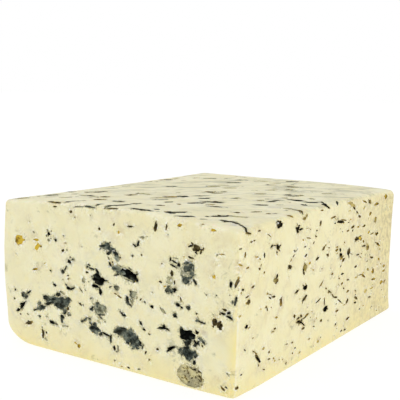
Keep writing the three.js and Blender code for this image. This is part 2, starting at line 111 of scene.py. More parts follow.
# ---- The marks on each face ----
# Each kind of hole: across, up, length, height, and the tilt of the length in degrees.
HOLES = {
    ("front", "slate"): [
        (27.5, 21, 6, 2.8, 12), (31.5, 21, 8.6, 4.2, 5), (20.6, 16.9, 4.2, 2, 20),
        (54.2, 45.1, 3.6, 1.7, 10), (56.4, 45, 4.4, 2.6, -30), (58.6, 44.2, 3, 1.7, -20),
        (60.2, 42.9, 3.8, 2, -40), (60, 37.7, 4.2, 2.1, 0), (62.8, 36.7, 3.8, 2.4, 0),
        (49.4, 13.3, 4.8, 3.1, -20), (66.8, 15, 3.8, 3.4, 30), (68.2, 13.2, 6, 3.4, -40),
        (69.2, 11, 3.6, 2, 10), (93.1, 12.8, 5.2, 4.7, 0), (92.4, 43.1, 4, 2.6, 15),
        (93.6, 44.8, 3, 1.4, -10), (94, 41.6, 1.8, 1.8, 0), (91.6, 38.9, 2.6, 2.6, 0),
        (93.4, 40.1, 2.6, 1.1, 30), (98.4, 19.2, 2.2, 1.4, -20), (96.6, 25.7, 1.6, 1, 0),
        (85.2, 33.8, 1.8, 1.6, 0), (65.8, 13.6, 8.4, 3.6, -26),
    ],
    ("front", "dust"): [
        (60.4, 30.4, 2.4, 2, 0), (68, 29.3, 2.9, 2.3, 10), (52.3, 21.5, 4.8, 4.5, 0),
    ],
    ("front", "dusk"): [
        (24.2, 21.2, 3, 2.1, 0), (25.2, 19.2, 3, 1.3, 20), (31.5, 19, 5.6, 1.5, -12),
        (31, 23.7, 2.6, 1.4, 10), (35.8, 22, 3.8, 2.2, 60), (22.6, 17.5, 2.8, 1.6, 15),
        (18, 15.7, 2.8, 0.6, 20), (12.2, 20.9, 3.4, 2.1, -10), (14.6, 22.3, 2.8, 0.8, 35),
        (34.2, 17.2, 2.4, 1.7, 50), (32.5, 13.6, 1, 2, 10), (28.9, 27.3, 1.9, 1, -15),
        (33.5, 33, 1.7, 1.5, 0), (34.9, 34.5, 0.7, 2.4, -25), (38.6, 38.3, 1.6, 0.8, 20),
        (56.6, 42.8, 2.8, 1.5, 40), (48.2, 36, 2.8, 0.7, -5), (54.8, 32.4, 2.6, 0.7, 3),
        (50.4, 22.4, 1, 2.6, 0), (52.8, 19.3, 3.4, 0.8, 10), (48.1, 20.7, 2, 1.4, 25),
        (43.2, 15.2, 1.7, 0.9, 10), (44.9, 16.2, 2.6, 0.8, 40), (46.9, 16.8, 2.2, 0.7, -10),
        (49.5, 15, 1.7, 1.8, 60), (52.4, 11.8, 1.7, 1.1, 20), (65.5, 26.9, 1.5, 3, 15),
        (66.8, 25.4, 1.8, 0.9, -30), (62.4, 14.8, 5.6, 2.8, 10), (92.8, 16.8, 2.6, 2.8, 0),
        (90.3, 12.8, 1.1, 3.2, 0), (96, 13.4, 1.2, 3, 0), (95.7, 10.3, 1.4, 1.5, 0),
        (90.2, 21.2, 1.4, 1.7, 0), (97.3, 17.7, 1.5, 1.6, 0), (99.6, 18.3, 1.8, 0.9, -40),
        (96, 16.6, 1.4, 1.3, 0), (94.6, 43.8, 0.7, 2.8, 10), (95.3, 39.1, 2.6, 0.8, -50),
        (86.1, 42.9, 2.8, 0.7, -15), (83.8, 34.2, 2.6, 1.8, 50), (92.7, 29.3, 2, 1.5, 0),
        (87.2, 25.5, 2, 1.4, 25), (60.2, 30.9, 1.5, 0.8, 0), (67, 30.2, 1.3, 1, 0),
        (111.9, 35.6, 0.7, 2.8, -10), (110.9, 35.2, 1, 1.2, 0), (46.5, 58.9, 5.8, 0.6, 0),
    ],
    ("front", "black"): [
        (10.9, 16.4, 5, 1.3, 47), (8.3, 14.3, 2.4, 1.2, 20), (27.2, 12.1, 3, 1.3, 0),
        (29.4, 11.8, 1.6, 0.5, -10), (32.8, 15.2, 2.6, 1.5, -25), (36.6, 26.9, 2.8, 1.5, -10),
        (38.4, 27.1, 2.2, 0.8, 25), (35.2, 28, 1.4, 0.9, -30), (36.8, 37.3, 2, 1.4, -15),
        (25.8, 47, 1.5, 1.5, 0), (68.7, 47.3, 1.8, 0.9, -40), (70.2, 48, 2.6, 1.1, 60),
        (67, 36.1, 5.4, 2.9, -20), (64.5, 36.8, 6, 3, -12), (64.8, 38, 1.3, 1, 0),
        (69.3, 35.1, 2.2, 1.2, -20), (57.2, 38.9, 1.8, 1, -50), (60.3, 35.3, 2.6, 0.6, 12),
        (51.7, 32.5, 5, 3.7, -15), (51.2, 35, 3.2, 1.4, -55), (46, 36.4, 1.5, 0.9, 10),
        (46.8, 37.3, 1.6, 0.7, -20), (50, 29.7, 3.6, 1.3, -5), (52.4, 28, 1.4, 2.8, 10),
        (70.7, 12.5, 3.4, 2, -45), (55.5, 12.2, 4.4, 0.9, -15), (57.4, 11, 1.1, 2.8, 0),
        (71.8, 19.5, 2.2, 0.9, -40), (73.4, 17.5, 1.6, 0.9, 0), (84.8, 45, 0.7, 1.9, -10),
        (86.5, 44.4, 2.8, 0.6, -20), (88.4, 43.7, 1.4, 1.3, 0), (86.5, 34.4, 2.1, 1.6, 20),
        (88.4, 29.5, 2, 1.3, -20), (89.9, 28.9, 1.4, 0.9, -20), (82, 19.8, 4.4, 0.9, 8),
        (82.5, 20.6, 1.4, 1.5, 0), (84.2, 19.7, 1.5, 0.6, -15), (85.4, 13, 4.2, 1.3, 30),
        (92.4, 19.4, 5.8, 4.4, -10), (98.3, 25.4, 3.6, 0.6, -8), (77, 26.6, 1.5, 1.1, -15),
        (109.8, 29.6, 2.8, 0.8, -20), (109.5, 31.1, 1.6, 0.9, 15), (107.3, 30.4, 2, 0.8, 0),
        (110, 41.2, 1, 2.1, -5), (59.2, 7.9, 1.1, 2, 15), (20.4, 13.5, 1.8, 0.8, -5),
        (63.5, 21.2, 2.6, 1.3, -15),
    ],
    ("front", "olive"): [
        (95.8, 50.7, 3.8, 2.3, -10), (93.2, 51.2, 2.2, 0.9, 15), (97.7, 50.2, 1, 2.4, -25),
        (98.5, 51.2, 0.7, 1.2, -20), (93.6, 47.2, 2.8, 0.8, -5), (104, 26.6, 2, 2.6, 0),
        (106, 26.2, 2.2, 2.4, -20), (106.3, 24.8, 1.5, 1, 0), (78, 55.6, 1.4, 3.8, -8),
        (85.4, 40.1, 1.5, 2.4, 0), (86.6, 37.2, 0.9, 1.7, -10), (21.8, 6.5, 1.6, 3.2, 0),
        (23.7, 7.4, 1.2, 1, 0), (37.1, 56.4, 1.4, 1.2, 0), (28.8, 57.9, 2, 0.7, 5), (36.2, 31.8, 1, 0.7, 0),
        (36.2, 30.5, 1.1, 0.7, 0), (35.9, 18.9, 1.8, 1.3, 30), (51.9, 51.3, 1.3, 1.2, 20),
        (58.8, 53.5, 0.9, 1.3, -20), (66.2, 53.8, 3.4, 0.7, 3), (71.8, 44.4, 1, 0.9, 0),
        (58.3, 39.8, 1, 0.7, 0), (61.9, 42, 1, 0.9, 0), (57, 46.8, 0.9, 0.9, 0), (42.2, 21.7, 1.7, 1, -15),
        (96.3, 28, 1.3, 0.9, 40), (75.8, 16.3, 1.4, 0.7, -10), (79.6, 11.6, 1.3, 1.1, 0),
        (75.8, 7, 1, 0.9, 0), (74.2, 9.4, 0.9, 1.6, -20), (107.8, 31.8, 1.9, 1, 0),
        (96.7, 21.4, 1.5, 1.5, 0), (99, 17.1, 1, 1, 0), (80.6, 36.2, 1.7, 0.8, -10),
        (89.5, 31.7, 0.8, 1.7, 20), (66, 1.9, 1.6, 0.8, 0), (92.4, 6.3, 1.1, 3.4, 0),
        (94.9, 7.2, 2.4, 1.4, 0), (94.8, 4.6, 1, 2.2, 0), (98.4, 4.6, 0.8, 3.6, -5),
        (96.6, 5.2, 0.7, 1.4, 20), (97.6, 59.6, 1.4, 0.7, 0), (28.1, 59.5, 7, 0.8, 3),
        (28.7, 57.9, 1.6, 0.9, 3), (57.2, 59.2, 6.3, 0.6, 6),
    ],
    ("front", "brown"): [
        (14.3, 9.8, 4.2, 1.4, 20), (21.3, 42, 1.8, 1.1, -15), (108, 3.8, 2.6, 0.9, -35),
        (103.4, 25, 1, 1, 0), (112.3, 42.2, 1, 4.4, -20), (112.6, 39.6, 0.7, 1.2, 0),
        (106, 29.9, 1.2, 0.7, 0), (112.8, 48.8, 0.6, 1.8, 0), (82.8, 56, 0.9, 2.2, -15),
        (59.9, 28.3, 1.4, 0.8, -10), (61.5, 27.7, 2.1, 0.8, -20), (71.7, 28.3, 1.5, 0.9, 50),
    ],
    ("front", "ochre"): [
        (9.7, 43.6, 4.2, 3.5, 10), (11.6, 43.7, 2.4, 1, 0), (19.3, 44.1, 3.4, 1.1, 3),
        (19.7, 41.6, 3, 1.9, 55), (39.5, 6.1, 1.7, 0.8, -25), (41.1, 5.2, 1.9, 1.5, 60),
        (61.1, 51.1, 1.1, 1.4, 0), (88.4, 57.5, 1.9, 1.3, 10), (102.4, 58.4, 1.9, 1, 5),
        (103.2, 42.4, 1.5, 1.1, -30), (18.6, 32.3, 3, 0.9, 15), (62.6, 1.7, 1.2, 0.6, 0),
        (106, 50.8, 2.6, 0.5, 8),
    ],
    ("front", "grey"): [
        (25.2, 48.4, 1, 1.2, 0), (27.1, 48.2, 0.8, 0.8, 0), (24.8, 46.3, 1.2, 1, 0),
        (25.9, 44.6, 1.4, 1.2, 0), (27.1, 45.4, 0.9, 0.8, 0), (13.8, 13.3, 1.6, 0.8, 0),
        (33.2, 11.7, 1.8, 1, 10), (35.3, 11.8, 1.7, 0.6, 0), (24.3, 14, 1.1, 0.9, 20),
        (32.9, 24.8, 3.2, 1.3, -20), (36.4, 16.8, 2.1, 1.9, 0), (44.2, 31.1, 1.9, 2.2, 20),
        (54.9, 21.6, 1.2, 3, 0), (42.9, 27, 2.4, 0.7, -45), (43.8, 21.5, 0.8, 0.9, 0),
        (67.6, 26.9, 1.5, 2.4, 0), (60.3, 6.8, 1, 0.7, 0), (61, 8.1, 0.8, 2, 0), (56.6, 40.8, 0.9, 1.2, 0),
        (72.2, 50.7, 2, 0.9, -5), (81.8, 26.2, 2.8, 1.3, -35), (84.7, 37.5, 2.8, 2.6, 0),
        (66.5, 34.3, 4.6, 0.9, -8), (69.9, 37.4, 1.3, 1.7, -30), (87.1, 45.8, 3, 0.5, -5),
        (54.7, 17, 1, 0.8, 0), (54.1, 46, 2.8, 0.8, 10), (51.6, 16.4, 1.8, 0.9, -30),
        (88, 59.4, 1.3, 0.6, 20), (21.5, 9.2, 1.3, 0.9, 0), (23.4, 4.6, 2, 0.8, -40),
        (84.2, 32.8, 1.4, 0.9, 0), (71, 2.4, 1.7, 0.8, 10), (41, 58.5, 5.1, 0.6, 6),
    ],
    ("front", "faint"): [
        (2.4, 54.6, 2.4, 1.4, -50), (4.6, 53.2, 5, 4, 0), (35.2, 40.6, 2.6, 1.9, 0),
        (34, 39.4, 2.2, 0.8, 0), (30, 38.2, 2.2, 0.7, 0), (20.8, 26.3, 3.4, 0.9, 40),
        (18.2, 24.2, 1.6, 1, 0), (72.8, 52, 2.8, 1.9, 30), (53, 6.7, 1.8, 1.6, 0), (63.2, 4.8, 1.6, 1.4, 0),
        (99.8, 34.9, 1.2, 1, 0), (102.4, 37.7, 1.8, 0.9, -10), (98.5, 27.1, 4, 1.6, 0),
        (3.2, 13, 2.4, 1.6, 0), (5.4, 11.2, 2, 1.4, 0), (79, 46.4, 3, 1.4, 10), (13, 30.6, 2.2, 0.8, -20),
        (11.7, 28.4, 2.2, 1.6, 0), (106.8, 34.8, 1.4, 1.6, 0), (83.6, 49.3, 0.9, 0.7, 0),
        (41.3, 53.7, 1.3, 0.8, 0), (24.5, 55.7, 2, 0.6, 5), (27, 56.5, 3, 0.6, 10), (48.6, 43, 1.8, 4, 20),
        (85.4, 28.4, 4, 3, 30), (80, 33, 5, 3, 0), (58, 24.4, 4, 3, 0), (45.4, 24, 4, 3, 30),
        (14.4, 18, 4, 2, 45), (40, 17.8, 3.6, 3, 0), (110, 4.4, 3.6, 2, -10), (87.6, 3.4, 1.6, 2.4, 0),
        (90.2, 50.8, 3, 2.4, 0), (99.6, 22, 3, 3.4, 0),
    ],
    ("front", "crust"): [
        (94.4, 5.2, 9.4, 6.6, -4), (92, 4.2, 5.6, 4.4, 0), (97.4, 4.6, 4, 5.6, 0),
    ],
    ("right", "black"): [
        (27.6, 57.8, 3.7, 2.6, -10), (22.6, 50.9, 2, 1.1, 20), (24.7, 50.8, 3.2, 0.4, -8),
        (27.6, 49.7, 2.9, 2, -20), (29.3, 50, 1.6, 0.6, 0), (27.8, 39, 1.9, 1.4, 40),
        (3, 39.3, 2.4, 0.8, -15), (37.8, 40.5, 3, 1.5, -15), (6.4, 25.5, 2, 1.2, 10),
        (14.9, 11.7, 4.2, 1.5, -50), (43, 53.9, 3.2, 2, -25), (46, 53.4, 3.2, 0.8, 0),
        (43.6, 52.7, 1.9, 0.9, 0), (69.8, 59.3, 4.6, 1.2, -25), (49.8, 37.8, 1.7, 2.6, 0),
        (62.4, 39.5, 3.4, 1.1, 12), (44.6, 29.7, 3.2, 1, 10), (52.2, 29.8, 3.6, 1.7, 8),
        (51.8, 25.8, 4.2, 1.5, 25), (50.6, 16, 4.2, 0.8, -35), (72.3, 17, 3.4, 2.1, 5),
        (83.4, 51.4, 7, 1.2, -8), (86.2, 37, 3.2, 1.8, -25), (87.2, 36.1, 2.4, 1.2, -5),
        (94.6, 37, 3.3, 2.9, -20), (103.8, 41.6, 5, 1.7, -5),
    ],
    ("right", "dusk"): [
        (5.5, 58.4, 3.4, 0.8, -10), (26.4, 38, 2.5, 1.6, 0), (27.6, 37.2, 2.3, 1.5, 20),
        (7.4, 34, 2, 1.6, 0), (20.2, 29.2, 1.7, 0.8, -10), (27.8, 19.4, 2.2, 0.9, -5),
        (26.3, 18.7, 2.2, 0.6, -5), (12.1, 15, 2.2, 0.5, -25), (48.6, 57.2, 2.6, 1.1, 0),
        (50.5, 58, 1.9, 1.1, 25), (51.5, 37.9, 2.4, 3, 0), (46.6, 18.9, 2.6, 1, 0),
        (49.4, 19.1, 2.3, 1.2, -20), (47.8, 17.2, 5, 1.4, -8), (63.6, 53.2, 2.2, 1.7, 60),
        (67.8, 42.6, 3, 1.5, 25), (72.4, 39.3, 2.8, 1, -12), (59.8, 48.7, 1.8, 0.9, -10),
        (76, 23.4, 4.2, 0.8, -25), (79.2, 21.3, 3.6, 0.8, -38), (125.1, 48, 3.4, 2, 5),
        (117.2, 36.2, 3, 2.3, -25), (95.4, 15.6, 3, 1.5, 35), (37.8, 3.4, 1.7, 1.1, -20),
        (1.7, 4.6, 2, 1, 20), (112.4, 37.4, 4, 0.9, -5), (105.8, 15, 3.8, 1.1, -25),
        (116.2, 56.8, 3.2, 2, 0),
    ],
    ("right", "olive"): [
        (28.9, 58.8, 1.7, 0.7, 0), (37.6, 59.5, 4.6, 0.8, -12), (5.8, 46.4, 2, 0.8, -3),
        (14.4, 44.3, 1.8, 1.2, 0), (15.3, 45.4, 1.2, 0.6, 40), (17.9, 42.3, 1.5, 0.8, 0),
        (28.6, 23.4, 2.2, 0.8, -12), (13.6, 13.9, 2.3, 0.8, -25), (16.4, 10.4, 2.4, 1, -40),
        (20, 6.1, 2.2, 0.6, -20), (64.8, 58.2, 2.8, 0.7, -3), (60.3, 50.8, 1.7, 0.8, 0),
        (58, 46.5, 1.6, 1, 25), (50, 46.1, 1.9, 0.7, 0), (38.6, 42.9, 1.6, 0.8, 40),
        (54.4, 18.4, 3.4, 1.1, 12), (68.7, 12.9, 2, 1.4, -10), (71.1, 20.4, 1, 3.6, -3),
        (65, 21.9, 4.6, 0.7, 12), (67.2, 28.2, 4.6, 0.9, 25), (45, 7.6, 1.7, 0.7, -10),
        (43.1, 6, 1.6, 0.7, 0), (74.8, 23.5, 1.6, 1.1, 0), (87, 51.8, 6, 0.7, -10),
        (76.4, 54.1, 4.6, 0.8, 0), (98, 55.6, 3, 1, -25), (104.6, 51.4, 3, 1.4, -25),
        (109.6, 57.4, 5.6, 0.7, -15), (124.9, 55.2, 4.8, 1.3, 0), (136.6, 57.6, 3.4, 2.1, 0),
        (117.6, 51.3, 3, 1.5, 15), (97.3, 47.6, 3.4, 1.1, 5), (103.8, 46.9, 2.6, 0.9, -5),
        (111, 46.6, 4, 1, 3), (106.8, 42.4, 3.4, 0.8, 5), (128.4, 41.1, 3.2, 2, -5),
        (121.6, 41.9, 4, 0.7, 5), (85.2, 39.4, 1.8, 1.4, -30), (98.2, 35.8, 3.6, 0.5, -18),
        (105.5, 34.4, 3.4, 0.8, -3), (108.8, 33, 3, 0.7, -30), (123.5, 30.7, 4.6, 1.1, -15),
        (130.6, 35.9, 5.4, 1.3, -20), (85.4, 27.4, 2.6, 0.8, -15), (88.6, 28.7, 3.6, 0.7, -3),
        (104, 29.4, 3.4, 1, 5), (89, 24.6, 2.6, 1.1, -3), (113.8, 23.6, 4.6, 1.2, -25),
        (109.8, 24.8, 5, 0.5, -5), (125.9, 24, 3.2, 2.3, -10), (86.6, 17.6, 5, 0.8, -30),
        (82.4, 19.9, 4, 0.8, -12), (127.6, 19.9, 4.4, 1, -10), (95.8, 19.9, 3.2, 1, 0),
        (104.8, 13.1, 3.2, 0.9, -5), (138, 16.5, 3.8, 1.8, -5), (84.7, 13.6, 3.2, 1.1, 0),
        (122.6, 12.1, 3.6, 0.9, -5), (96.7, 7.6, 3.4, 1.2, 3), (90.2, 3.6, 2.8, 0.8, 0),
        (93.8, 3.3, 3, 0.8, -5),
    ],
    ("right", "brown"): [
        (13.2, 58, 2.2, 0.8, 0), (8, 55, 2.2, 0.7, -3), (10, 55.1, 1.9, 0.7, 0), (20.8, 55, 4.2, 0.5, -28),
        (1, 53.8, 1.8, 0.5, 5), (3.9, 51.2, 1.2, 1.9, 0), (0.9, 48.4, 3, 0.7, -20), (12, 49, 3.2, 0.6, -12),
        (17.6, 48.4, 1.1, 2.4, 15), (0.6, 43.6, 0.9, 1.6, 0), (10, 38.8, 2.2, 1, 10),
        (25.6, 31.8, 3.4, 0.9, -8), (28.8, 48.3, 1.7, 0.7, -30), (21.1, 28.2, 0.9, 1.7, 25),
        (31.6, 28.4, 2, 3.1, 0), (5.8, 17.2, 2, 0.7, -35), (23.7, 11.6, 1.7, 1.1, -10),
        (23.8, 9, 2.6, 0.7, -10), (27.6, 8.2, 2.2, 0.7, -25), (3.9, 8.9, 1.8, 0.8, 0),
        (44.4, 55, 1.7, 0.9, 0), (40.6, 44.2, 2.2, 0.9, 35), (51.2, 42.5, 2.8, 0.9, 12),
        (52, 17.8, 4.4, 0.7, 5), (51.6, 13.8, 3.4, 1, 5), (61.6, 12.1, 2.6, 0.8, -12),
        (42.5, 10.4, 1.8, 0.9, -15), (77.8, 30.6, 2.6, 0.9, -3), (88.8, 36.3, 1.8, 0.8, 0),
        (95.4, 25, 3, 0.8, -10), (140.4, 24.2, 3.6, 1.4, -3), (140.4, 21.8, 3.4, 1.1, 0),
    ],
    ("right", "ochre"): [
        (14.4, 47.8, 1.7, 0.7, -20), (48.2, 49, 1.9, 0.8, -8), (53, 49, 4, 0.6, -10),
        (55.3, 38.8, 2.2, 1.1, 5), (43.2, 46, 1.8, 0.7, 40), (58.6, 35.6, 2, 0.6, -15),
        (16.3, 29.4, 1.8, 0.5, -20), (38.1, 10.9, 1.8, 0.7, -10), (94.5, 51.2, 2.4, 0.6, -8),
        (107.6, 41.3, 3, 1.8, -20), (86.8, 50.3, 1.6, 0.6, 0),
    ],
    ("right", "grey"): [
        (6.5, 59.7, 2.4, 0.6, -10), (2.2, 38.2, 0.9, 1.2, 20), (5.8, 33.9, 1.6, 1, 0),
        (1.8, 30.3, 1.6, 0.8, 10), (20.8, 34, 1.8, 0.8, 0), (22.9, 33.2, 3.2, 0.5, -20),
        (8.2, 24.6, 2.6, 0.7, 0), (15.8, 8.9, 1.6, 0.9, -20), (19.3, 14.2, 2.4, 1.1, 0),
        (26.9, 47.6, 0.9, 1.9, 25), (51.4, 53, 3.2, 0.5, -8), (53.8, 52.4, 1.9, 0.5, -25),
        (57.6, 8, 2.2, 1, 5), (49.3, 4.7, 2.4, 0.9, 8), (28.6, 7, 1.6, 0.8, 0), (69.6, 43.6, 1.6, 0.9, 0),
        (81.6, 41.1, 2.6, 1, -8), (78.6, 53, 2.6, 0.6, -35), (92.4, 14.6, 3, 0.7, 5),
        (94.4, 57.6, 7, 1.6, -18), (92.6, 55, 3.4, 0.6, 0), (105, 24.5, 3.4, 0.7, -8),
        (125, 16, 4.6, 0.8, 0), (117.3, 16, 3.2, 1.6, 0), (74.4, 54, 2.2, 0.8, 0),
        (52.4, 31.2, 1.5, 0.8, -20), (67.3, 34.5, 1.9, 0.7, -10),
    ],
    ("right", "faint"): [
        (31.5, 55.8, 1.8, 0.6, -15), (4.2, 53, 1.3, 0.6, 0), (29, 41.9, 1.6, 0.7, -10),
        (16.6, 22.6, 1.6, 0.6, -15), (1.4, 20.9, 1.8, 0.6, 0), (27, 17.4, 2.8, 0.8, 0),
        (5.5, 19.2, 1.6, 1.4, 0), (6.4, 16, 1.8, 0.7, -30), (17.6, 9, 2.8, 1.2, -30),
        (4.8, 12.2, 1, 2.6, 5), (21.2, 3.8, 1.6, 0.7, -15), (24, 3.7, 2.2, 0.8, 0), (2, 6, 0.8, 1.6, 0),
        (13.2, 1.9, 1.8, 0.7, -10), (36.4, 2.4, 1.6, 0.9, 20), (53.2, 58.8, 1.8, 0.6, 0),
        (39.4, 51.6, 2.6, 0.6, -10), (44, 49.4, 3, 0.5, 0), (69, 48.8, 3.6, 0.7, -5),
        (70.4, 46.6, 4.6, 1.4, -15), (54.8, 45, 1.8, 0.7, -8), (71.4, 38, 4, 2, 0),
        (38.6, 21.8, 1.5, 0.9, 10), (62.4, 13.7, 1.8, 0.7, -5), (67.4, 5.2, 2.8, 1.2, 25),
        (67, 9, 2, 0.9, 0), (76.8, 45.1, 2.6, 0.8, -5), (134.6, 47.4, 4.4, 0.8, -20),
        (134.4, 44.3, 3, 0.9, -10), (115, 31.3, 4, 0.9, -12), (131, 31, 4, 1.4, -5),
        (140.4, 37, 4, 1.4, -8), (118.2, 27.4, 2.4, 2, -20), (85.6, 33.6, 2.6, 0.9, -20),
        (120.4, 24.7, 4, 0.8, 0), (130.4, 11.4, 3, 1.4, 0), (105.6, 9.4, 3, 0.8, -15),
        (90.6, 8.5, 3, 0.7, -20), (99, 4.2, 3, 0.8, 0), (136.4, 6.3, 4.6, 1.2, -5),
        (118.6, 4.4, 4, 1.1, -5), (77, 12.4, 2.4, 1.2, 0),
    ],
    ("top", "black"): [
        (101.6, 9.3, 4.4, 1.8, 3), (105, 9.7, 4, 1.5, -8), (108.6, 8, 4, 1, -32), (111.3, 6.1, 3.6, 1, -35),
        (112.7, 4.6, 2, 1.2, -50), (111.4, 70.2, 4.4, 1.6, -50), (108.6, 73.6, 4, 1.2, -55),
        (112.2, 80.6, 3, 1.2, -60), (107.2, 35.2, 2, 1, 20), (69.2, 2.6, 9.2, 1.9, 7),
        (81.4, 8.6, 8.1, 2.4, 55), (79.9, 6.2, 1.7, 4.4, 48), (87.7, 4.6, 6.3, 2, 41),
        (73.7, 30.8, 6.1, 2.5, 60), (96, 15, 7.9, 2, 50), (95.3, 15.3, 1.3, 4, 46),
        (68.7, 45.5, 4.5, 3, 55), (93.1, 58.4, 3.8, 2.4, 60), (93.1, 63.2, 4.5, 2, 70),
        (98.8, 69.8, 6.7, 3.4, 11), (106.4, 61.5, 2.1, 3.2, 56), (105.8, 70.2, 5.7, 2.6, 50),
    ],
    ("top", "dusk"): [
        (34.1, 1.8, 2.4, 2, 32), (50, 2, 3.5, 1.6, 60), (57.8, 7.2, 4.2, 2.2, 55), (49.1, 13.6, 4.8, 3, 35),
        (58.7, 12.8, 3.9, 1.8, 50), (65.1, 25.8, 3.2, 2.6, 55), (59.1, 44.2, 4.4, 4, 20),
        (77.7, 39.4, 7.2, 2.8, 20), (84.1, 30.3, 6, 2, 20), (93.6, 47.7, 5.6, 2.2, 44),
        (110.3, 47.7, 4.9, 1.8, -5), (75.1, 113.6, 6.2, 4.4, 33), (35.1, 4.9, 4.3, 1.8, 51),
        (55.6, 2.3, 6, 1.6, 53),
    ],
    ("top", "slate"): [
        (88.2, 83.2, 4.3, 3.4, 60), (30, 77, 5, 4, 40), (45, 89, 6, 3.6, 45), (43, 112, 7, 4.6, 45),
        (38, 128, 6, 4, 45),
    ],
    ("top", "olive"): [
        (71.4, 23.7, 2.1, 2.4, 45), (68.3, 15.7, 3, 2.2, 50), (16.2, 40.2, 7.9, 3.8, 37),
        (37.9, 35.9, 4.9, 3.4, 44), (57.6, 66.9, 4.4, 4, 55), (100.6, 32.7, 4.7, 1.7, 53),
        (105.7, 33.2, 2.5, 1.7, 43),
    ],
    ("top", "brown"): [
        (55.7, 40.3, 6.3, 3.2, 41), (34.3, 23.7, 4.1, 4, 32), (96.2, 25.5, 2.8, 2.2, 53),
        (110.5, 48.2, 3.6, 1.5, 11),
    ],
    ("top", "grey"): [
        (56.6, 34.9, 10.5, 2.8, 48), (26.5, 23, 14, 2, -20), (40.3, 42.4, 7.9, 2.4, -10),
        (101.5, 19.3, 6.5, 1.6, 40), (61.9, 71.1, 3.2, 4.4, 55), (105.6, 48.1, 3.9, 1.8, 25),
        (93.3, 85.3, 3, 4, 46), (91.9, 72.7, 2.5, 3, 35), (101.6, 78.5, 2.4, 3.4, 20),
    ],
    ("top", "smear"): [
        (16, 40, 12, 7, 37), (27, 23, 18, 5, -15), (40, 42, 12, 6, 0), (56, 37, 15, 7, 45),
        (77, 41, 10, 5, 25), (10.5, 56.7, 9, 8, 45), (20.1, 67.9, 13, 8, -10), (31.8, 77, 15, 8, -5),
        (43.6, 83.2, 15, 9, 55), (12.9, 13.6, 7, 6, 47), (40.8, 108.5, 12, 10, 50), (37.6, 123, 22, 6, 80),
        (73, 115.6, 18, 8, -25), (52, 95, 9, 8, 44), (90, 84, 10, 7, 46), (62, 69, 9, 7, 50),
        (94, 72, 12, 5, 35), (22, 95, 10, 8, 45), (60, 132, 14, 8, 45), (98, 120, 14, 7, 45),
        (84, 98, 12, 6, 45),
    ],
}

# Pale curds that stand in holes: across, up and size.
CURDS = {
    "front": [
        (24.4, 17.4, 1.7), (58, 43.6, 1.1), (61, 42.8, 1.2), (63.4, 38.2, 1.2), (47.9, 36.9, 1.2),
        (66.6, 27.2, 1.2), (51.5, 14.4, 1.3), (60.1, 8.3, 1.4), (63.5, 21.6, 0.9), (97.2, 51.1, 0.9),
        (86.4, 43.7, 0.9), (85.2, 35.4, 1.5), (84.8, 37.4, 1.4), (88.8, 30.4, 0.9), (105.1, 27.1, 0.9),
        (33.4, 24.9, 1), (26.3, 46.2, 0.9), (98, 20.6, 1.1), (36.4, 17, 0.9), (70, 36.2, 0.9),
        (92.6, 45.2, 0.9),
    ],
    "right": [(28.1, 58.4, 0.9), (48.7, 57.9, 1), (49.6, 38.6, 0.8), (48, 18.2, 0.8)],
}

# How each kind of hole looks. tone is its lining's, from soot (0) to dust (1); warm is how far the
# lining is from slate towards ochre; deep is its depth against a usual hole's; faint is how far the
# paste shows through; stain is how strongly it stains the paste round it.
KINDS = {
    "slate": dict(tone=0.7, warm=0.02, deep=0.9, faint=0.0, stain=0.65),
    "dust": dict(tone=0.85, warm=0.12, deep=0.6, faint=0.05, stain=0.6),
    "dusk": dict(tone=0.5, warm=0.08, deep=1.0, faint=0.0, stain=0.65),
    "black": dict(tone=0.1, warm=0.05, deep=1.5, faint=0.0, stain=0.65),
    "olive": dict(tone=0.42, warm=0.6, deep=0.9, faint=0.0, stain=0.5),
    "brown": dict(tone=0.5, warm=0.95, deep=0.7, faint=0.1, stain=0.35),
    "ochre": dict(tone=0.95, warm=1.0, deep=0.5, faint=0.0, stain=0.2),
    "grey": dict(tone=0.9, warm=0.2, deep=0.5, faint=0.3, stain=0.45),
    "crust": dict(tone=0.84, warm=0.4, deep=0.25, faint=0.4, stain=0.5),
}

LOOKS = ("tone", "warm", "faint", "stain")  # those that the faces of a hole keep

# Two kinds of mark aren't holes: a faint pale haze, and a darker smear of marbling.
HAZES = ("faint", "smear")

# Small holes drawn at random on each face: how many of each kind, their lengths, how slim they
# are, between which tilts, and how much they crowd towards the far end (0 for evenly).
SCATTER = {
    "front": dict(
        counts=dict(black=8, dusk=10, olive=16, ochre=8, grey=20, faint=30),
        lengths=(0.5, 1.6), slim=(0.35, 0.9), tilt=(-45, 45), crowd=0.0, margin=3,
    ),
    "right": dict(
        counts=dict(dusk=8, olive=36, brown=44, grey=30, faint=60),
        lengths=(0.6, 3.0), slim=(0.25, 0.65), tilt=(-30, 20), crowd=0.9, margin=3,
    ),
    "top": dict(
        counts=dict(slate=16, dusk=16, black=4, olive=18, grey=44, faint=40),
        lengths=(1.2, 7.0), slim=(0.2, 0.9), tilt=(22, 66), crowd=0.0, margin=4,
    ),
    "back": dict(
        counts=dict(slate=16, dusk=16, black=16, olive=14, brown=8, ochre=5, grey=18, faint=24),
        lengths=(0.8, 7.5), slim=(0.3, 0.8), tilt=(-40, 40), crowd=0.0, margin=4,
    ),
    "left": dict(
        counts=dict(slate=10, dusk=10, black=8, olive=12, ochre=8, grey=16, faint=20),
        lengths=(0.8, 6.0), slim=(0.3, 0.8), tilt=(-35, 35), crowd=0.0, margin=6,
    ),
    "base": dict(
        counts=dict(slate=4, olive=6, grey=10, faint=12),
        lengths=(0.8, 3.0), slim=(0.4, 0.9), tilt=(-45, 45), crowd=0.0, margin=20,
    ),
}
SEED = 13

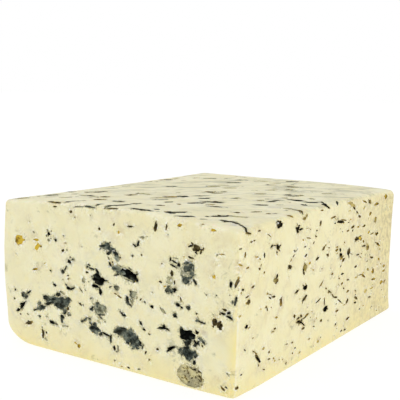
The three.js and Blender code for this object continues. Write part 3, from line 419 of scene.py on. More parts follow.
# The lump that cuts a hole: the gap between the curd grains round it, rough all over.
LUMP_EDGES = {  # how long a lump's triangle edges are, in millimetres, for each face
    "front": 0.42, "right": 0.5, "top": 0.8, "back": 0.8, "left": 0.8, "base": 1.0,
}
GRAIN_COUNT = (7, 0.9, 16)  # grains round the smallest hole, more for each mm of size, and at most
GRAIN_SHAKE = 0.25  # how unevenly they stand round the hole
GRAIN_RADIUS = (1.6, 3.4)  # in millimetres
GRAIN_NEAR = (0.72, 1.06)  # how near a grain comes to the middle, as a share of the hole's reach
SPIKE_REACH = 1.24  # how far a hole reaches between two grains
WALL_ROUGH = 0.12  # in millimetres
TONE_SPREAD = 0.07  # how much the lining's tone differs from hole to hole
DEPTH_BASE = 0.4  # a hole is this deep, in millimetres
DEPTH_SHARE = 0.46  # and deeper by this share of its mean size
SINK = 0.16  # how far a lump's middle lies under the face, as a share of its depth

# Slivers torn open round the larger holes.
SLIVER_HOLE = 2.4  # a hole of this mean size or larger has slivers
SLIVERS = 0.9  # for each mm of its size
SLIVER_LENGTH = (0.6, 2.2)
SLIVER_SLIM = (0.2, 0.6)
SLIVER_DISTANCE = (0.85, 1.5)  # from the hole's middle, as a share of its reach
SLIVER_SHIFT = 0.5  # sideways, in millimetres
SLIVER_TURN = 60  # from the hole's tilt, in degrees
CRUST_SLIVERS = 9  # a crust has more of them, all over it
CRUST_DISTANCE = (0.0, 1.0)

# How holes differ by face: how much paler and how much warmer their linings are.
FACE_TINTS = {"front": (0.0, 0.05), "right": (0.1, 0.62), "top": (0.15, 0.15)}
FAR_FROM = 70.0  # beyond this the holes of the right face and the top are paler and shallower
FAR_PALER = 0.24
FAR_SHALLOWER = 0.5

RIM_REACH = 0.95  # how far a rim's stain reaches into the paste
NEAR_REACH = 2.6  # and its clouds and specks
HAZE_DEPTH = 2.0  # how near its face a haze tints the paste

CURD_PARTS = 3  # into how many parts an icosahedron's edges are split for a curd
CURD_ROUGH = 0.16
CURD_SINK = 0.25  # how far under the face a curd's top lies
CURD_DEPTH = 2.6

# The looks of the paste by its place. Each is a sum of parts: a part's strength, and how far it
# reaches from each side that it lies along.
MARGINS = {
    "edge": (  # butter-coloured painted shade and bounce light: the front's right edge, the foot, the far end and the left edge
        (1.4, dict(right=6.0, front=0.5, base=50.0)),
        (0.6, dict(base=14.0)),
        (0.4, dict(base=3.0)),
        (0.6, dict(back=80.0, right=30.0)),
        (-0.6, dict(back=80.0, right=30.0, top=3.0)),
        (0.6, dict(left=2.5, top=30.0, front=25.0)),
        (0.25, dict(right=1.5)),
    ),
    "edge_highlight": (  # painted highlight on the rounded cut edges, partly paler dry paste: the front's upper edge, and beside its right edge
        (1.0, dict(front=2.2, top=2.2)),
        (1.4, dict(right=0.5, front=2.4)),
        (-1.4, dict(right=0.5, front=0.5)),
    ),
    "far_shade_and_blotches": (  # painted shade, which also places the blotches: the far end of the right face, up to its upper edge
        (1.0, dict(back=80.0, right=30.0)),
        (-1.0, dict(back=80.0, right=30.0, top=3.0)),
    ),
    "marble": (  # marbled: the top, less so near the front
        (1.0, dict(top=1.5)),
        (-0.8, dict(top=1.5, front=90.0)),
    ),
}

# ---- The camera ----
CAMERA_AT = (188.5, -299.7, 105.8)  # in the block's own frame
CAMERA_AZIMUTH = 33.45  # degrees
CAMERA_PITCH = 7.77
CAMERA_ROLL = 1.44
CAMERA_LENS = 71.0  # its focal length
SENSOR = 36.0  # width


# ---- The form ----
def near_end(distance, reach):
    """1 at the end of a span, falling smoothly to 0 at the given reach from it."""
    share = np.clip(distance / reach, 0, 1)
    return 1 - share * share * (3 - 2 * share)


def mix(low, high, share):
    return low + (high - low) * share


def round_off(points):
    """Moves points of the true box onto the box with rounded edges."""
    x, _, z = points.T
    low, moulded = near_end(z, MOULD_FADE), near_end(x + WIDTH / 2, MOULD_FADE)
    from_corner = np.min([np.linalg.norm(points - corner, axis=1) for corner in SOFT_CORNERS], axis=0)
    cut = mix(CUT_RADIUS, CORNER_RADIUS, near_end(from_corner, CORNER_FADE))
    radii = np.stack(
        [
            np.where(x < 0, mix(cut, MOULD_REACH, low), cut),
            cut,
            np.where(z < HEIGHT / 2, mix(cut, MOULD_RISE, moulded), cut),
        ],
        axis=1,
    )
    lowest = np.array([-WIDTH / 2, -DEPTH / 2, 0])
    highest = np.array([WIDTH / 2, DEPTH / 2, HEIGHT])
    core = np.clip(points, lowest + radii, highest - radii)
    offset = (points - core) / radii
    length = np.linalg.norm(offset, axis=1, keepdims=True)
    return core + radii * offset / np.maximum(length, 1e-9)


def soften(points):
    """Bends the rounded box into the soft block."""
    x, y, z = points.T
    rightward, backward, upward = x / WIDTH + 0.5, y / DEPTH + 0.5, z / HEIGHT
    belly = np.sin(np.pi * upward)
    arch_across, arch_along = np.sin(np.pi * rightward), np.sin(np.pi * backward)
    crown = FRONT_CROWN * arch_across * (1 - backward)
    crown += BACK_CROWN * np.sin(np.pi * rightward**2) * backward**2 + BACK_RISE * backward
    crown += arch_along * (RIGHT_CROWN * rightward**2 - LEFT_SAG * (1 - rightward) ** 2)
    lift = FRONT_LIFT * arch_across * near_end(DEPTH / 2 + y, LIFT_REACH)
    lean = SIDE_LEAN * (upward - LEAN_PIVOT) * (1 - rightward)
    side = SIDE_SWELL * belly * (1 - rightward) ** 2 + lean
    lip = BACK_LIP * near_end(z, LIP_HEIGHT)
    return np.stack(
        [
            x - side,
            y + (lip - BACK_HOLLOW * belly) * backward**3,
            z + upward * crown + (1 - upward) * lift,
        ],
        axis=1,
    )


def cell_lines(start, end, first_rounding, last_rounding):
    """Cell lines along one span: close together over each rounding, then evenly spaced."""
    shares = np.arange(ROUND_CELLS) / ROUND_CELLS
    near = np.unique(np.concatenate([shares * CUT_RADIUS, np.arange(CUT_RADIUS, first_rounding, CELL)]))
    inner = start + first_rounding, end - last_rounding
    middle = np.linspace(*inner, round((inner[1] - inner[0]) / CELL) + 1)
    return np.concatenate([start + near, middle, end - last_rounding * shares[::-1]])


def box_shell():
    """Points on the true box and the quads between them, with outward normals."""
    lines = [
        cell_lines(-WIDTH / 2, WIDTH / 2, MOULD_REACH, CUT_RADIUS),
        cell_lines(-DEPTH / 2, DEPTH / 2, CUT_RADIUS, CUT_RADIUS),
        cell_lines(0, HEIGHT, MOULD_RISE, CUT_RADIUS),
    ]
    corners = []
    for axis in range(3):
        i, j = (axis + 1) % 3, (axis + 2) % 3
        for level, turned in ((lines[axis][0], True), (lines[axis][-1], False)):
            across, up = np.meshgrid(lines[i], lines[j], indexing="ij")
            grid = np.empty(across.shape + (3,))
            grid[..., axis], grid[..., i], grid[..., j] = level, across, up
            quads = np.stack([grid[:-1, :-1], grid[1:, :-1], grid[1:, 1:], grid[:-1, 1:]], axis=2)
            quads = quads.reshape(-1, 4, 3)
            corners.append(quads[:, ::-1] if turned else quads)
    corners = np.concatenate(corners).reshape(-1, 3)
    points, where = np.unique(np.round(corners, 4), axis=0, return_inverse=True)
    return points, where.reshape(-1, 4)


def relief(points):
    """A small unevenness of the paste at each point, in millimetres."""
    heights = np.zeros(len(points))
    for wavelength, height in RELIEF:
        heights += [height * noise.noise(Vector(point) / wavelength) for point in points]
    return heights


def write_mesh(name, points, faces):
    mesh = bpy.data.meshes.new(name)
    mesh.from_pydata((points * METRES).tolist(), [], faces.tolist())
    return mesh


def set_attribute(mesh, name, values, domain="POINT"):
    attribute = mesh.attributes.new(name, "FLOAT", domain)
    attribute.data.foreach_set("value", np.asarray(values, dtype=np.float32))


def hole_frame(face, along_face, up_face, tilt, offset):
    """A place on a face of the soft block, and the ways along, aside and outward from it."""
    corner, across, up, outward, _ = (np.array(part, dtype=float) for part in FACES[face])
    mouth = soften((corner + across * along_face + up * up_face)[None])[0] + offset
    turn = math.radians(tilt)
    along = across * math.cos(turn) + up * math.sin(turn)
    aside = up * math.cos(turn) - across * math.sin(turn)
    return mouth, (along, aside, outward)


def block_offset(points):
    """What moves the block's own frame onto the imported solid's box."""
    low, high = (np.array(corner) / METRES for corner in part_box("cheese_block"))
    centre = (points.min(axis=0) + points.max(axis=0)) / 2
    return np.array([*((low + high) / 2 - centre)[:2], low[2] - points[:, 2].min()])


def haze_share(points, offset, hazes):
    """How strongly the given hazes tint each point of the paste."""
    share = np.zeros(len(points))
    for face, (along_face, up_face, length, height, tilt) in hazes:
        middle, (along, aside, outward) = hole_frame(face, along_face, up_face, tilt, offset)
        away = points - middle
        round_it = (away @ along / (length / 2)) ** 2 + (away @ aside / (height / 2)) ** 2
        share += np.exp(-round_it) * (np.abs(away @ outward) < HAZE_DEPTH)
    return np.clip(share, 0, 1)


def margin_shares(box_points):
    """How strongly each look of MARGINS shows at each point of the box."""
    x, y, z = box_points.T
    away = {"left": x + WIDTH / 2, "right": WIDTH / 2 - x, "front": y + DEPTH / 2, "back": DEPTH / 2 - y}
    away |= {"base": z, "top": HEIGHT - z}

    def part(strength, reaches):
        return strength * math.prod(near_end(away[side], reach) for side, reach in reaches.items())

    return {look: np.clip(sum(part(*each) for each in parts), 0, 1) for look, parts in MARGINS.items()}


def uncut_block(marks):
    """The block without its holes, and what moves its frame onto the solid's."""
    box_points, quads = box_shell()
    smooth_points = soften(round_off(box_points))
    offset = block_offset(smooth_points)
    mesh = write_mesh("cheese", smooth_points + offset, quads)
    normals = np.array([vertex.normal for vertex in mesh.vertices])
    settled = 1 - near_end(box_points[:, 2], RELIEF_FROM)
    moved = smooth_points + offset + normals * (relief(smooth_points) * settled)[:, None]
    mesh.vertices.foreach_set("co", (moved * METRES).ravel())
    for name, values in margin_shares(box_points).items():
        set_attribute(mesh, name, values)
    for kind in HAZES:
        hazes = [(face, haze) for face, mark_kind, haze in marks if mark_kind == kind]
        set_attribute(mesh, kind, haze_share(moved, offset, hazes))
    return mesh, offset


# ---- The holes ----
@functools.lru_cache
def unit_sphere(parts):
    """The points and triangles of a unit sphere, an icosahedron with each edge in so many parts."""
    work = bmesh.new()
    bmesh.ops.create_icosphere(work, subdivisions=1, radius=1)
    if parts > 1:
        bmesh.ops.subdivide_edges(work, edges=work.edges[:], cuts=parts - 1, use_grid_fill=True)
    points = np.array([tuple(vertex.co.normalized()) for vertex in work.verts])
    faces = np.array([[vertex.index for vertex in face.verts] for face in work.faces])
    work.free()
    return points, faces


def grain_directions(count, rng):
    """Directions spread evenly over a sphere, turned and shaken at random."""
    steps = np.arange(count) + 0.5
    polar = np.arccos(1 - 2 * steps / count)
    around = np.pi * (1 + 5**0.5) * steps + rng.uniform(0, 2 * np.pi)
    level = np.sin(polar)
    spread = np.stack([np.cos(around) * level, np.sin(around) * level, np.cos(polar)], axis=1)
    shaken = spread + rng.normal(size=(count, 3)) * GRAIN_SHAKE
    return shaken / np.linalg.norm(shaken, axis=1, keepdims=True)


def lump_reach(ways, length, height, rng):
    """How far a hole reaches each way from its middle before it meets the curd grains round it."""
    fewest, for_each_mm, most = GRAIN_COUNT
    mean = (length * height) ** 0.5 / 2
    reach = np.full(len(ways), SPIKE_REACH)
    for facing in grain_directions(min(round(fewest + for_each_mm * mean * 2), most), rng):
        radius = rng.uniform(*GRAIN_RADIUS) / max(mean, 1.0)
        distance = rng.uniform(*GRAIN_NEAR) + radius
        ahead = ways @ facing * distance
        inside = ahead**2 - distance**2 + radius**2
        met = (inside > 0) & (ahead > 0)
        reach = np.where(met, np.minimum(reach, ahead - np.sqrt(np.maximum(inside, 0))), reach)
    return reach + rng.normal(size=len(ways)) * WALL_ROUGH / max(mean, 1.0)


def looks_at(face, along_face, up_face, kind):
    """A kind of hole's looks, changed to suit its place."""
    looks = dict(KINDS[kind])
    paler, warmer = FACE_TINTS.get(face, (0.0, 0.0))
    backward = {"right": along_face, "top": up_face}.get(face, 0)
    far = min(max((backward - FAR_FROM) / (DEPTH - FAR_FROM), 0), 1)
    looks["tone"] += paler + FAR_PALER * far
    looks["warm"] += warmer
    looks["deep"] *= 1 - FAR_SHALLOWER * far
    return looks


def lump(name, centre, axes, reach, sphere, looks):
    """A closed lump with the given half axes. Its faces keep how they look."""
    ways, faces = sphere
    faces = faces if np.linalg.det(axes) > 0 else faces[:, ::-1]
    mesh = write_mesh(name, centre + (reach[:, None] * ways) @ axes, faces)
    for look, value in looks.items():
        set_attribute(mesh, look, np.full(len(faces), value), "FACE")
    return mesh


def hole_lump(face, kind, hole, offset, rng):
    """The lump that cuts one hole."""
    along_face, up_face, length, height, tilt = hole
    size = (length * height) ** 0.5
    looks = looks_at(face, along_face, up_face, kind)
    depth = (DEPTH_BASE + DEPTH_SHARE * size) * looks.pop("deep")
    mouth, (along, aside, outward) = hole_frame(face, along_face, up_face, tilt, offset)
    sphere = unit_sphere(max(round(size / 2 / LUMP_EDGES[face]), 1))
    reach = lump_reach(sphere[0], length, height, rng)
    looks["tone"] += rng.normal() * TONE_SPREAD
    axes = np.stack([along * length / 2, aside * height / 2, outward * depth])
    return lump("hole", mouth - outward * SINK * depth, axes, reach, sphere, looks)


def curd_lump(face, curd, offset, rng):
    """A pale grain of curd that stands up from a hole's floor."""
    along_face, up_face, size = curd
    mouth, (across, up, outward) = hole_frame(face, along_face, up_face, 0, offset)
    sphere = unit_sphere(CURD_PARTS)
    reach = 1 + rng.normal(size=len(sphere[0])) * CURD_ROUGH / size
    axes = np.stack([across * size / 2, up * size / 2, outward * CURD_DEPTH / 2])
    return lump("curd", mouth - outward * (CURD_SINK + CURD_DEPTH / 2), axes, reach, sphere, {"curd": 1})


def scattered_holes(rng):
    """Small holes drawn at random on every face."""
    for face, plan in SCATTER.items():
        wide, tall = FACES[face][4]
        margin = plan["margin"]
        for kind, count in plan["counts"].items():
            for _ in range(count):
                share = rng.uniform() ** (1 / (1 + plan["crowd"]))
                across = mix(margin, wide - margin, share)
                up = rng.uniform(margin, tall - margin)
                shortest, longest = plan["lengths"]
                length = shortest + (longest - shortest) * rng.uniform() ** 2
                height = length * rng.uniform(*plan["slim"])
                yield face, kind, (across, up, length, height, rng.uniform(*plan["tilt"]))


def placed_holes():
    for (face, kind), holes in HOLES.items():
        for hole in holes:
            yield face, kind, hole


def slivers_round(face, kind, hole, rng):
    """Thin slits torn open in the paste round one hole."""
    along_face, up_face, length, height, tilt = hole
    mean = (length * height) ** 0.5
    if mean < SLIVER_HOLE:
        return
    turn = math.radians(tilt)
    crust = kind == "crust"
    for _ in range(round((CRUST_SLIVERS if crust else SLIVERS) * mean)):
        around = rng.uniform(0, 2 * np.pi)
        away = rng.uniform(*(CRUST_DISTANCE if crust else SLIVER_DISTANCE))
        along = away * math.cos(around) * length / 2
        aside = away * math.sin(around) * height / 2 + rng.uniform(-SLIVER_SHIFT, SLIVER_SHIFT)
        across = along_face + along * math.cos(turn) - aside * math.sin(turn)
        up = up_face + along * math.sin(turn) + aside * math.cos(turn)
        size = rng.uniform(*SLIVER_LENGTH)
        slim = size * rng.uniform(*SLIVER_SLIM)
        sliver_tilt = tilt + rng.uniform(-SLIVER_TURN, SLIVER_TURN)
        yield face, "olive" if crust else kind, (across, up, size, slim, sliver_tilt)


def combine(block, operation, meshes, material):
    """Cuts closed meshes out of the block or joins them to it. Their faces keep the material."""
    operands = bpy.data.collections.new(operation)
    for mesh in meshes:
        mesh.materials.append(material)
        operands.objects.link(bpy.data.objects.new(mesh.name, mesh))
    change = block.modifiers.new(operation, "BOOLEAN")
    change.operation, change.operand_type, change.solver = operation, "COLLECTION", "MANIFOLD"
    change.collection, change.material_mode = operands, "TRANSFER"
    evaluated = block.evaluated_get(bpy.context.evaluated_depsgraph_get())
    mesh = bpy.data.meshes.new_from_object(evaluated)
    block.modifiers.clear()
    block.data = mesh
    for operand in list(operands.objects):
        bpy.data.objects.remove(operand)
    bpy.data.collections.remove(operands)


def cut_holes(block_mesh, holes, offset, rng):
    """Cuts every hole out of the block and stands the pale curds in them."""
    holes = holes + [sliver for hole in holes for sliver in slivers_round(*hole, rng)]
    lumps = [hole_lump(*hole, offset, rng) for hole in holes]
    curds = [curd_lump(face, curd, offset, rng) for face in CURDS for curd in CURDS[face]]
    for name in (*LOOKS, "curd"):
        set_attribute(block_mesh, name, np.zeros(len(block_mesh.polygons)), "FACE")
    paste, lining = paste_material(), lining_material()
    block_mesh.materials.append(paste)
    skin = bvhtree.BVHTree.FromPolygons(
        [vertex.co for vertex in block_mesh.vertices], [face.vertices for face in block_mesh.polygons]
    )
    block = bpy.data.objects.new("cheese", block_mesh)
    bpy.context.collection.objects.link(block)
    combine(block, "DIFFERENCE", lumps, lining)
    combine(block, "UNION", curds, paste)
    depths = [skin.find_nearest(vertex.co)[3] / METRES for vertex in block.data.vertices]
    set_attribute(block.data, "depth", depths)
    return block


def sharpen_rims(mesh):
    """Makes the holes' rims sharp. Gives each rim point's place, stain and warmth."""
    lined = {index for index, slot in enumerate(mesh.materials) if slot.name == "mould_lining"}
    work = bmesh.new()
    work.from_mesh(mesh)
    stains, warmths = (work.faces.layers.float[name] for name in ("stain", "warm"))
    rim_points = {}
    for edge in work.edges:
        lining = [face for face in edge.link_faces if face.material_index in lined]
        edge.smooth = len(lining) != 1
        if edge.smooth:
            continue
        for vertex in edge.verts:
            rim_points[vertex.index] = (vertex.co.copy(), lining[0][stains], lining[0][warmths])
    for face in work.faces:
        face.smooth = True
    work.to_mesh(mesh)
    work.free()
    return list(rim_points.values())


def mark_rims(mesh):
    """Stores how near each point of the paste is to a rim, and how that rim stains it."""
    rim_points = sharpen_rims(mesh)
    tree = kdtree.KDTree(len(rim_points))
    for index, (place, _, _) in enumerate(rim_points):
        tree.insert(place, index)
    tree.balance()
    found = [tree.find(vertex.co)[1:] for vertex in mesh.vertices]
    distance = np.array([gap for _, gap in found]) / METRES
    set_attribute(mesh, "rim", np.exp(-distance / RIM_REACH))
    set_attribute(mesh, "near", np.exp(-distance / NEAR_REACH))
    set_attribute(mesh, "rim_stain", [rim_points[index][1] for index, _ in found])
    set_attribute(mesh, "rim_warm", [rim_points[index][2] for index, _ in found])


# ---- Materials ----
def srgb(red, green, blue):
    """A colour given as on a screen, from 0 to 255, as Blender's linear colour."""

    def linear(value):
        share = value / 255
        return share / 12.92 if share <= 0.04045 else ((share + 0.055) / 1.055) ** 2.4

    return (linear(red), linear(green), linear(blue), 1.0)


# A Mix node has sockets for each type. These are the places of those for colours.
MIX_SHARE, MIX_FIRST, MIX_SECOND, MIX_RESULT = 0, 6, 7, 2


class Shader:
    """A material's node tree, with each node added in one call."""

    def __init__(self, name):
        self.material = bpy.data.materials.new(name)
        self.material.use_nodes = True
        self.tree = self.material.node_tree
        self.surface = self.tree.nodes["Principled BSDF"]

    def set(self, node, inputs):
        for name, value in inputs.items():
            socket = node.inputs[name]
            if isinstance(value, bpy.types.NodeSocket):
                self.tree.links.new(value, socket)
            else:
                socket.default_value = value

    def add(self, kind, output, inputs, **settings):
        node = self.tree.nodes.new(kind)
        for name, value in settings.items():
            setattr(node, name, value)
        self.set(node, inputs)
        return node.outputs[output]

    def place(self):
        return self.add("ShaderNodeTexCoord", "Object", {})

    def attribute(self, name):
        return self.add("ShaderNodeAttribute", "Fac", {}, attribute_name=name)

    def math(self, operation, first, second=0.0, third=0.0):
        return self.add("ShaderNodeMath", 0, {0: first, 1: second, 2: third}, operation=operation)

    def scaled(self, value, factor, shift=0.0):
        """value times factor plus shift."""
        return self.math("MULTIPLY_ADD", value, factor, shift)

    def centred(self, noise, spread):
        """A noise from 0 to 1, widened to the given spread round 0."""
        return self.scaled(noise, spread, -spread / 2)

    def noise(self, place, size, detail=3.0, rough=0.6, distortion=0.0):
        """Noise from 0 to 1 with features of the given size, in millimetres."""
        inputs = {"Vector": place, "Scale": 1 / (size * METRES), "Detail": detail}
        inputs |= {"Roughness": rough, "Distortion": distortion}
        return self.add("ShaderNodeTexNoise", "Fac", inputs)

    def noises(self, place, layers):
        """The sum of several noises, each times its share."""
        total = 0.0
        for share, layer in layers:
            total = self.scaled(self.noise(place, *layer), share, total)
        return total

    def band(self, value, low, high):
        """0 below low, 1 above high, and smooth between them."""
        inputs = {"Value": value, "From Min": low, "From Max": high}
        return self.add("ShaderNodeMapRange", "Result", inputs, interpolation_type="SMOOTHSTEP")

    def patches(self, place, name):
        """One kind of PATCHES: 0 between them, and their strength inside."""
        noise, band, strength = PATCHES[name]
        return self.scaled(self.band(self.noise(place, *noise), *band), strength)

    def blend(self, share, first, second):
        inputs = {MIX_SHARE: share, MIX_FIRST: first, MIX_SECOND: second}
        return self.add("ShaderNodeMix", MIX_RESULT, inputs, data_type="RGBA")

    def ramp(self, value, stops):
        """The colour at a value, between stops of place and colour."""
        node = self.tree.nodes.new("ShaderNodeValToRGB")
        places = node.color_ramp.elements
        while len(places) < len(stops):
            places.new(1.0)
        for element, (place, colour) in zip(places, stops):
            element.position, element.color = place, colour
        self.set(node, {"Fac": value})
        return node.outputs["Color"]

    def bump(self, height, strength, distance):
        inputs = {"Height": height, "Strength": strength, "Distance": distance * METRES}
        return self.add("ShaderNodeBump", "Normal", inputs)


CREAM = srgb(230, 223, 180)
PALE = srgb(235, 230, 194)
# The butter patches' colour, and also that of the painted shade in the margins.
BUTTER = srgb(237, 222, 150)
# A painted highlight, partly paler dry paste, for the rounded cut edges.
EDGE_HIGHLIGHT = srgb(243, 238, 214)
CURD = srgb(238, 237, 222)
CLOUD = srgb(204, 204, 190)
WARM_CLOUD = srgb(196, 178, 140)
# A painted shade for the far end of the right face.
FAR_SHADE = srgb(206, 190, 140)
BLOTCH = srgb(164, 150, 112)
MARBLE = srgb(154, 152, 116)
STAIN = srgb(96, 100, 76)
OCHRE_STAIN = srgb(206, 182, 104)

# A noise is given by the size of its features in millimetres, its detail, its roughness and its
# distortion. A band gives between which of its values a colour fades in.
PATCHES = {  # each kind's noise, its band and how strongly it shows
    "pale": ((11, 4), (0.35, 0.7), 1.0),
    "butter": ((3.2, 3, 0.6, 0.4), (0.55, 0.8), 0.3),
    # the noise that breaks up the painted butter-yellow shade
    "edge": ((14,), (0.0, 0.55), 0.8),
    # the noise that breaks up the painted edge highlight
    "edge_highlight": ((7, 3, 0.6, 1.5), (0.3, 0.7), 0.8),
    "cloud": ((4.5, 4, 0.65, 0.6), (0.45, 0.7), 1.0),
}
# How strongly the painted shade darkens the far end.
FAR_SHADE_STRENGTH = 0.3
BLOTCH_NOISES = ((0.65, (2.0, 3, 0.6)), (0.35, (8,)))  # each after its share
BLOTCH_BAND = (0.42, 0.68)
BLOTCH_STRENGTH = 0.6

# The marbling on top runs one way. The smears are more of it.
MARBLE_TURN = math.radians(45)
MARBLE_STRETCH = 2.4
MARBLE_NOISES = ((0.5, (9, 3, 0.5, 0.8)), (0.5, (2.6, 4, 0.65, 0.8)))
MARBLE_BAND = (0.48, 0.62)
SMEAR_RAISES = 0.26  # the marbling's noise
SMEAR_BAND = (0.57, 0.71)
MARBLE_STRENGTH = 0.65

# Round the holes.
CLOUD_NEAR = 0.6  # how strong clouds are at a rim
CLOUD_ANYWHERE = 0.06
FLECK_AND_GLINT_CLOSE = 2.2  # the power with which flecks and painted glints gather near the rims
FLECK_AND_GLINT_FADE = 0.07
FLECK_AND_GLINT_NOISE = (2, 0.5)  # detail and roughness
FLECKS_AND_GLINTS = (  # their size in millimetres, how rare and how strong they are, their colour. The white ones are painted glints, the others flecks of mould
    # painted white glints beside the rims
    (1.1, 0.57, 0.9, srgb(245, 245, 236)),
    (0.9, 0.6, 0.6, srgb(184, 166, 92)),
    (0.65, 0.58, 0.6, srgb(150, 148, 108)),
)
FRINGE_NOISE = (0.6, 3, 0.7)
FRINGE_RAGGED = 1.2
FRINGE_BAND = (0.34, 0.72)
FRINGE_STRENGTH = 0.85
CURD_STRENGTH = 0.85

PASTE_GRAIN = ((0.25, (0.45, 3, 0.6)), (1.0, (2.2, 4, 0.55)))  # the noises of its bumps
PASTE_BUMP = (0.4, 0.25)  # their strength, and their height in millimetres


def paste_colour(shader, place):
    """Mottled cream, with painted butter-yellow shade in the margins, painted shade on the far end and a
    painted highlight, partly paler dry paste, on the cut edges.
    """
    colour = shader.blend(shader.patches(place, "pale"), CREAM, PALE)
    colour = shader.blend(shader.patches(place, "butter"), colour, BUTTER)
    # Painted shade and bounce light: butter yellow along the margins.
    edge = shader.math("MULTIPLY", shader.attribute("edge"), shader.patches(place, "edge"))
    colour = shader.blend(edge, colour, BUTTER)
    # Painted shade on the far end of the right face.
    colour = shader.blend(shader.scaled(shader.attribute("far_shade_and_blotches"), FAR_SHADE_STRENGTH), colour, FAR_SHADE)
    # A painted highlight along the rounded cut edges, partly paler dry paste.
    edge_highlight = shader.math("MULTIPLY", shader.attribute("edge_highlight"), shader.patches(place, "edge_highlight"))
    return shader.blend(edge_highlight, colour, EDGE_HIGHLIGHT)


def marbled(shader, place, colour):
    """Soft marbling and smears on top, and blotches on the far end."""
    turned = {"Vector": place, "Rotation": (0, 0, MARBLE_TURN), "Scale": (MARBLE_STRETCH, 1, 1)}
    grain = shader.add("ShaderNodeMapping", "Vector", turned, vector_type="TEXTURE")
    veined = shader.noises(grain, MARBLE_NOISES)
    smeared = shader.scaled(shader.attribute("smear"), SMEAR_RAISES, veined)
    marbling = shader.math("MULTIPLY", shader.band(veined, *MARBLE_BAND), shader.attribute("marble"))
    marbling = shader.math("MAXIMUM", marbling, shader.band(smeared, *SMEAR_BAND))
    colour = shader.blend(shader.scaled(marbling, MARBLE_STRENGTH), colour, MARBLE)

    blotches = shader.band(shader.noises(place, BLOTCH_NOISES), *BLOTCH_BAND)
    blotches = shader.math("MULTIPLY", blotches, shader.attribute("far_shade_and_blotches"))
    return shader.blend(shader.scaled(blotches, BLOTCH_STRENGTH), colour, BLOTCH)


def mouldy(shader, place, colour):
    """Hazes, specks, painted white glints and a ragged fringe of mould near the holes, and the curds in
    them.
    """
    near = shader.attribute("near")
    hazy = shader.math("ADD", shader.scaled(near, CLOUD_NEAR, CLOUD_ANYWHERE), shader.attribute("faint"))
    clouds = shader.math("MULTIPLY", shader.patches(place, "cloud"), hazy)
    colour = shader.blend(clouds, colour, shader.blend(shader.attribute("rim_warm"), CLOUD, WARM_CLOUD))

    close = shader.math("POWER", near, FLECK_AND_GLINT_CLOSE)
    # Flecks of mould, and white painted glints.
    for size, least, strength, fleck_and_glint_colour in FLECKS_AND_GLINTS:
        flecks_and_glints = shader.band(shader.noise(place, size, *FLECK_AND_GLINT_NOISE), least, least + FLECK_AND_GLINT_FADE)
        flecks_and_glints = shader.scaled(shader.math("MULTIPLY", flecks_and_glints, close), strength)
        colour = shader.blend(flecks_and_glints, colour, fleck_and_glint_colour)

    ragged = shader.centred(shader.noise(place, *FRINGE_NOISE), FRINGE_RAGGED)
    stained = shader.math("MULTIPLY", shader.attribute("rim"), shader.attribute("rim_stain"))
    fringe = shader.band(shader.math("ADD", stained, ragged), *FRINGE_BAND)
    fringe_colour = shader.blend(shader.attribute("rim_warm"), STAIN, OCHRE_STAIN)
    colour = shader.blend(shader.scaled(fringe, FRINGE_STRENGTH), colour, fringe_colour)
    return shader.blend(shader.scaled(shader.attribute("curd"), CURD_STRENGTH), colour, CURD)


def paste_material():
    """The moist cream paste of the cheese."""
    shader = Shader("paste")
    place = shader.place()
    shader.set(
        shader.surface,
        {
            "Base Color": mouldy(shader, place, marbled(shader, place, paste_colour(shader, place))),
            "Roughness": 0.5,
            "Specular IOR Level": 0.35,
            "Subsurface Weight": 0.3,
            "Subsurface Radius": (1.0, 0.75, 0.4),
            "Subsurface Scale": 2.0 * METRES,
            "Normal": shader.bump(shader.noises(place, PASTE_GRAIN), *PASTE_BUMP),
        },
    )
    return shader.material


# The lining's colours from soot to dust: cool for young mould and warm for old.
COOL = (
    (0.0, srgb(14, 16, 12)),
    (0.3, srgb(50, 60, 54)),
    (0.62, srgb(104, 117, 110)),
    (1.0, srgb(176, 184, 166)),
)
WARM = (
    (0.0, srgb(26, 20, 8)),
    (0.3, srgb(104, 86, 36)),
    (0.62, srgb(160, 132, 56)),
    (1.0, srgb(226, 198, 74)),
)
DRIFT_NOISE = (2.8, 2, 0.5)
DUST_NOISE = (1.3, 4, 0.65)
FINE_NOISE = (0.35, 3, 0.6)
TONE_DRIFTS = 2.4  # how much the tone changes over the drift noise
TONE_FINE = 0.8  # and over the fine noise
WARMTH_DRIFTS = 0.5  # how much the warmth changes over the dust noise
BRINK_BAND = (0.0, 0.6)  # a hole's brink, in millimetres of depth
BRINK_SHADE = -0.2  # painted shade under the rim: the tone at the brink
FLOOR_PALER = 0.22  # how much paler it is below the brink, where that painted shade lifts
DEPTH_SHADE = 0.05  # painted shade: how much darker again for each millimetre of depth
WORN_BAND = (0.2, 0.5)  # of the fine noise, where faint mould is worn off
LINING_BUMP = (0.8, 0.3)  # the bumps' strength, and their height in millimetres


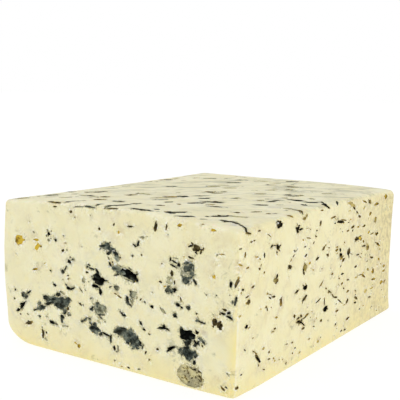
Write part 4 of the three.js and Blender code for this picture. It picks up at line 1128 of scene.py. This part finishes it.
def lining_material():
    """The mould that lines the holes, from dusty slate to soot, or warm where it is old, with painted shade
    at the brink and in the depths.
    """
    shader = Shader("mould_lining")
    place = shader.place()
    tone, warm, faint, depth = (shader.attribute(name) for name in ("tone", "warm", "faint", "depth"))
    drift, dust, fine = (shader.noise(place, *each) for each in (DRIFT_NOISE, DUST_NOISE, FINE_NOISE))

    uneven = shader.math("ADD", shader.centred(drift, TONE_DRIFTS), shader.centred(fine, TONE_FINE))
    # Painted shade: darker at the brink and deeper down.
    depth_shade = shader.scaled(shader.band(depth, *BRINK_BAND), FLOOR_PALER, BRINK_SHADE)
    depth_shade = shader.scaled(depth, -DEPTH_SHADE, depth_shade)
    lightness = shader.math("ADD", shader.math("ADD", tone, depth_shade), uneven)
    warmth = shader.math("ADD", warm, shader.centred(dust, WARMTH_DRIFTS))
    colour = shader.blend(warmth, shader.ramp(lightness, COOL), shader.ramp(lightness, WARM))
    worn = shader.math("MULTIPLY", faint, shader.band(fine, *WORN_BAND))
    shader.set(
        shader.surface,
        {
            "Base Color": shader.blend(worn, colour, CREAM),
            "Roughness": 0.85,
            "Specular IOR Level": 0.2,
            "Normal": shader.bump(shader.math("ADD", fine, dust), *LINING_BUMP),
        },
    )
    return shader.material


# ---- The set, in metres ----
FLOOR_HALF = 12.0
FLOOR_GREY = 0.25
FLOOR_GLOW = 0.8  # a light table, as white as the backdrop
# The surround's strength, from level to overhead.
SURROUND = {"From Min": 0.15, "From Max": 0.9, "To Min": 1.0, "To Max": 0.84}
LIGHTS = {  # place, size, and power in watts
    "key": ((-0.5, -0.8, 0.9), 0.9, 0.9),
    "fill": ((0.9, -0.1, 0.4), 0.8, 1.0),
}
LIGHTS_AIM = (0, 0, 0.03)


def add_floor():
    mesh = bpy.data.meshes.new("floor")
    corners = [(x * FLOOR_HALF, y * FLOOR_HALF, 0) for x, y in ((-1, -1), (1, -1), (1, 1), (-1, 1))]
    mesh.from_pydata(corners, [], [(0, 1, 2, 3)])
    shader = Shader("floor")
    shader.set(
        shader.surface,
        {
            "Base Color": (FLOOR_GREY, FLOOR_GREY, FLOOR_GREY, 1.0),
            "Roughness": 0.9,
            "Specular IOR Level": 0.0,
            "Emission Color": (1.0, 1.0, 1.0, 1.0),
            "Emission Strength": FLOOR_GLOW,
        },
    )
    mesh.materials.append(shader.material)
    floor = bpy.data.objects.new("floor", mesh)
    bpy.context.collection.objects.link(floor)


def add_lights():
    """A soft key and fill."""
    for name, (place, size, watts) in LIGHTS.items():
        light = bpy.data.lights.new(name, "AREA")
        light.shape, light.size, light.energy = "DISK", size, watts
        lamp = bpy.data.objects.new(name, light)
        lamp.location = place
        lamp.rotation_euler = (Vector(LIGHTS_AIM) - Vector(place)).to_track_quat("-Z", "Y").to_euler()
        bpy.context.collection.objects.link(lamp)


def add_surround():
    """An even white surround, a little dimmer overhead."""
    world = bpy.data.worlds.new("studio")
    world.use_nodes = True
    nodes, links = world.node_tree.nodes, world.node_tree.links
    way = nodes.new("ShaderNodeTexCoord")
    split = nodes.new("ShaderNodeSeparateXYZ")
    strength = nodes.new("ShaderNodeMapRange")
    for name, value in SURROUND.items():
        strength.inputs[name].default_value = value
    links.new(way.outputs["Generated"], split.inputs["Vector"])
    links.new(split.outputs["Z"], strength.inputs["Value"])
    links.new(strength.outputs["Result"], nodes["Background"].inputs["Strength"])
    nodes["Background"].inputs["Color"].default_value = (1, 1, 1, 1)
    bpy.context.scene.world = world


def add_camera(offset):
    azimuth, pitch, roll = (math.radians(angle) for angle in (CAMERA_AZIMUTH, CAMERA_PITCH, CAMERA_ROLL))
    level = Matrix.Rotation(azimuth, 4, "Z") @ Matrix.Rotation(math.pi / 2, 4, "X")
    turn = level @ Matrix.Rotation(-pitch, 4, "X") @ Matrix.Rotation(roll, 4, "Z")
    camera = bpy.data.objects.new("camera", bpy.data.cameras.new("camera"))
    camera.data.lens, camera.data.sensor_width = CAMERA_LENS, SENSOR
    camera.matrix_world = Matrix.Translation(Vector((np.array(CAMERA_AT) + offset) * METRES)) @ turn
    bpy.context.collection.objects.link(camera)
    bpy.context.scene.camera = camera


def make_cheese():
    """The dressed block, and what moves its frame onto the solid's."""
    draws = np.random.default_rng(SEED)
    marks = [*placed_holes(), *scattered_holes(draws)]
    mesh, offset = uncut_block(marks)
    holes = [mark for mark in marks if mark[1] not in HAZES]
    block = cut_holes(mesh, holes, offset, draws)
    mark_rims(block.data)
    return block, offset


bpy.context.scene.view_settings.view_transform = "Standard"
cheese, block_shift = make_cheese()
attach(cheese, "root")
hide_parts("cheese_block")
add_floor()
add_lights()
add_surround()
add_camera(block_shift)
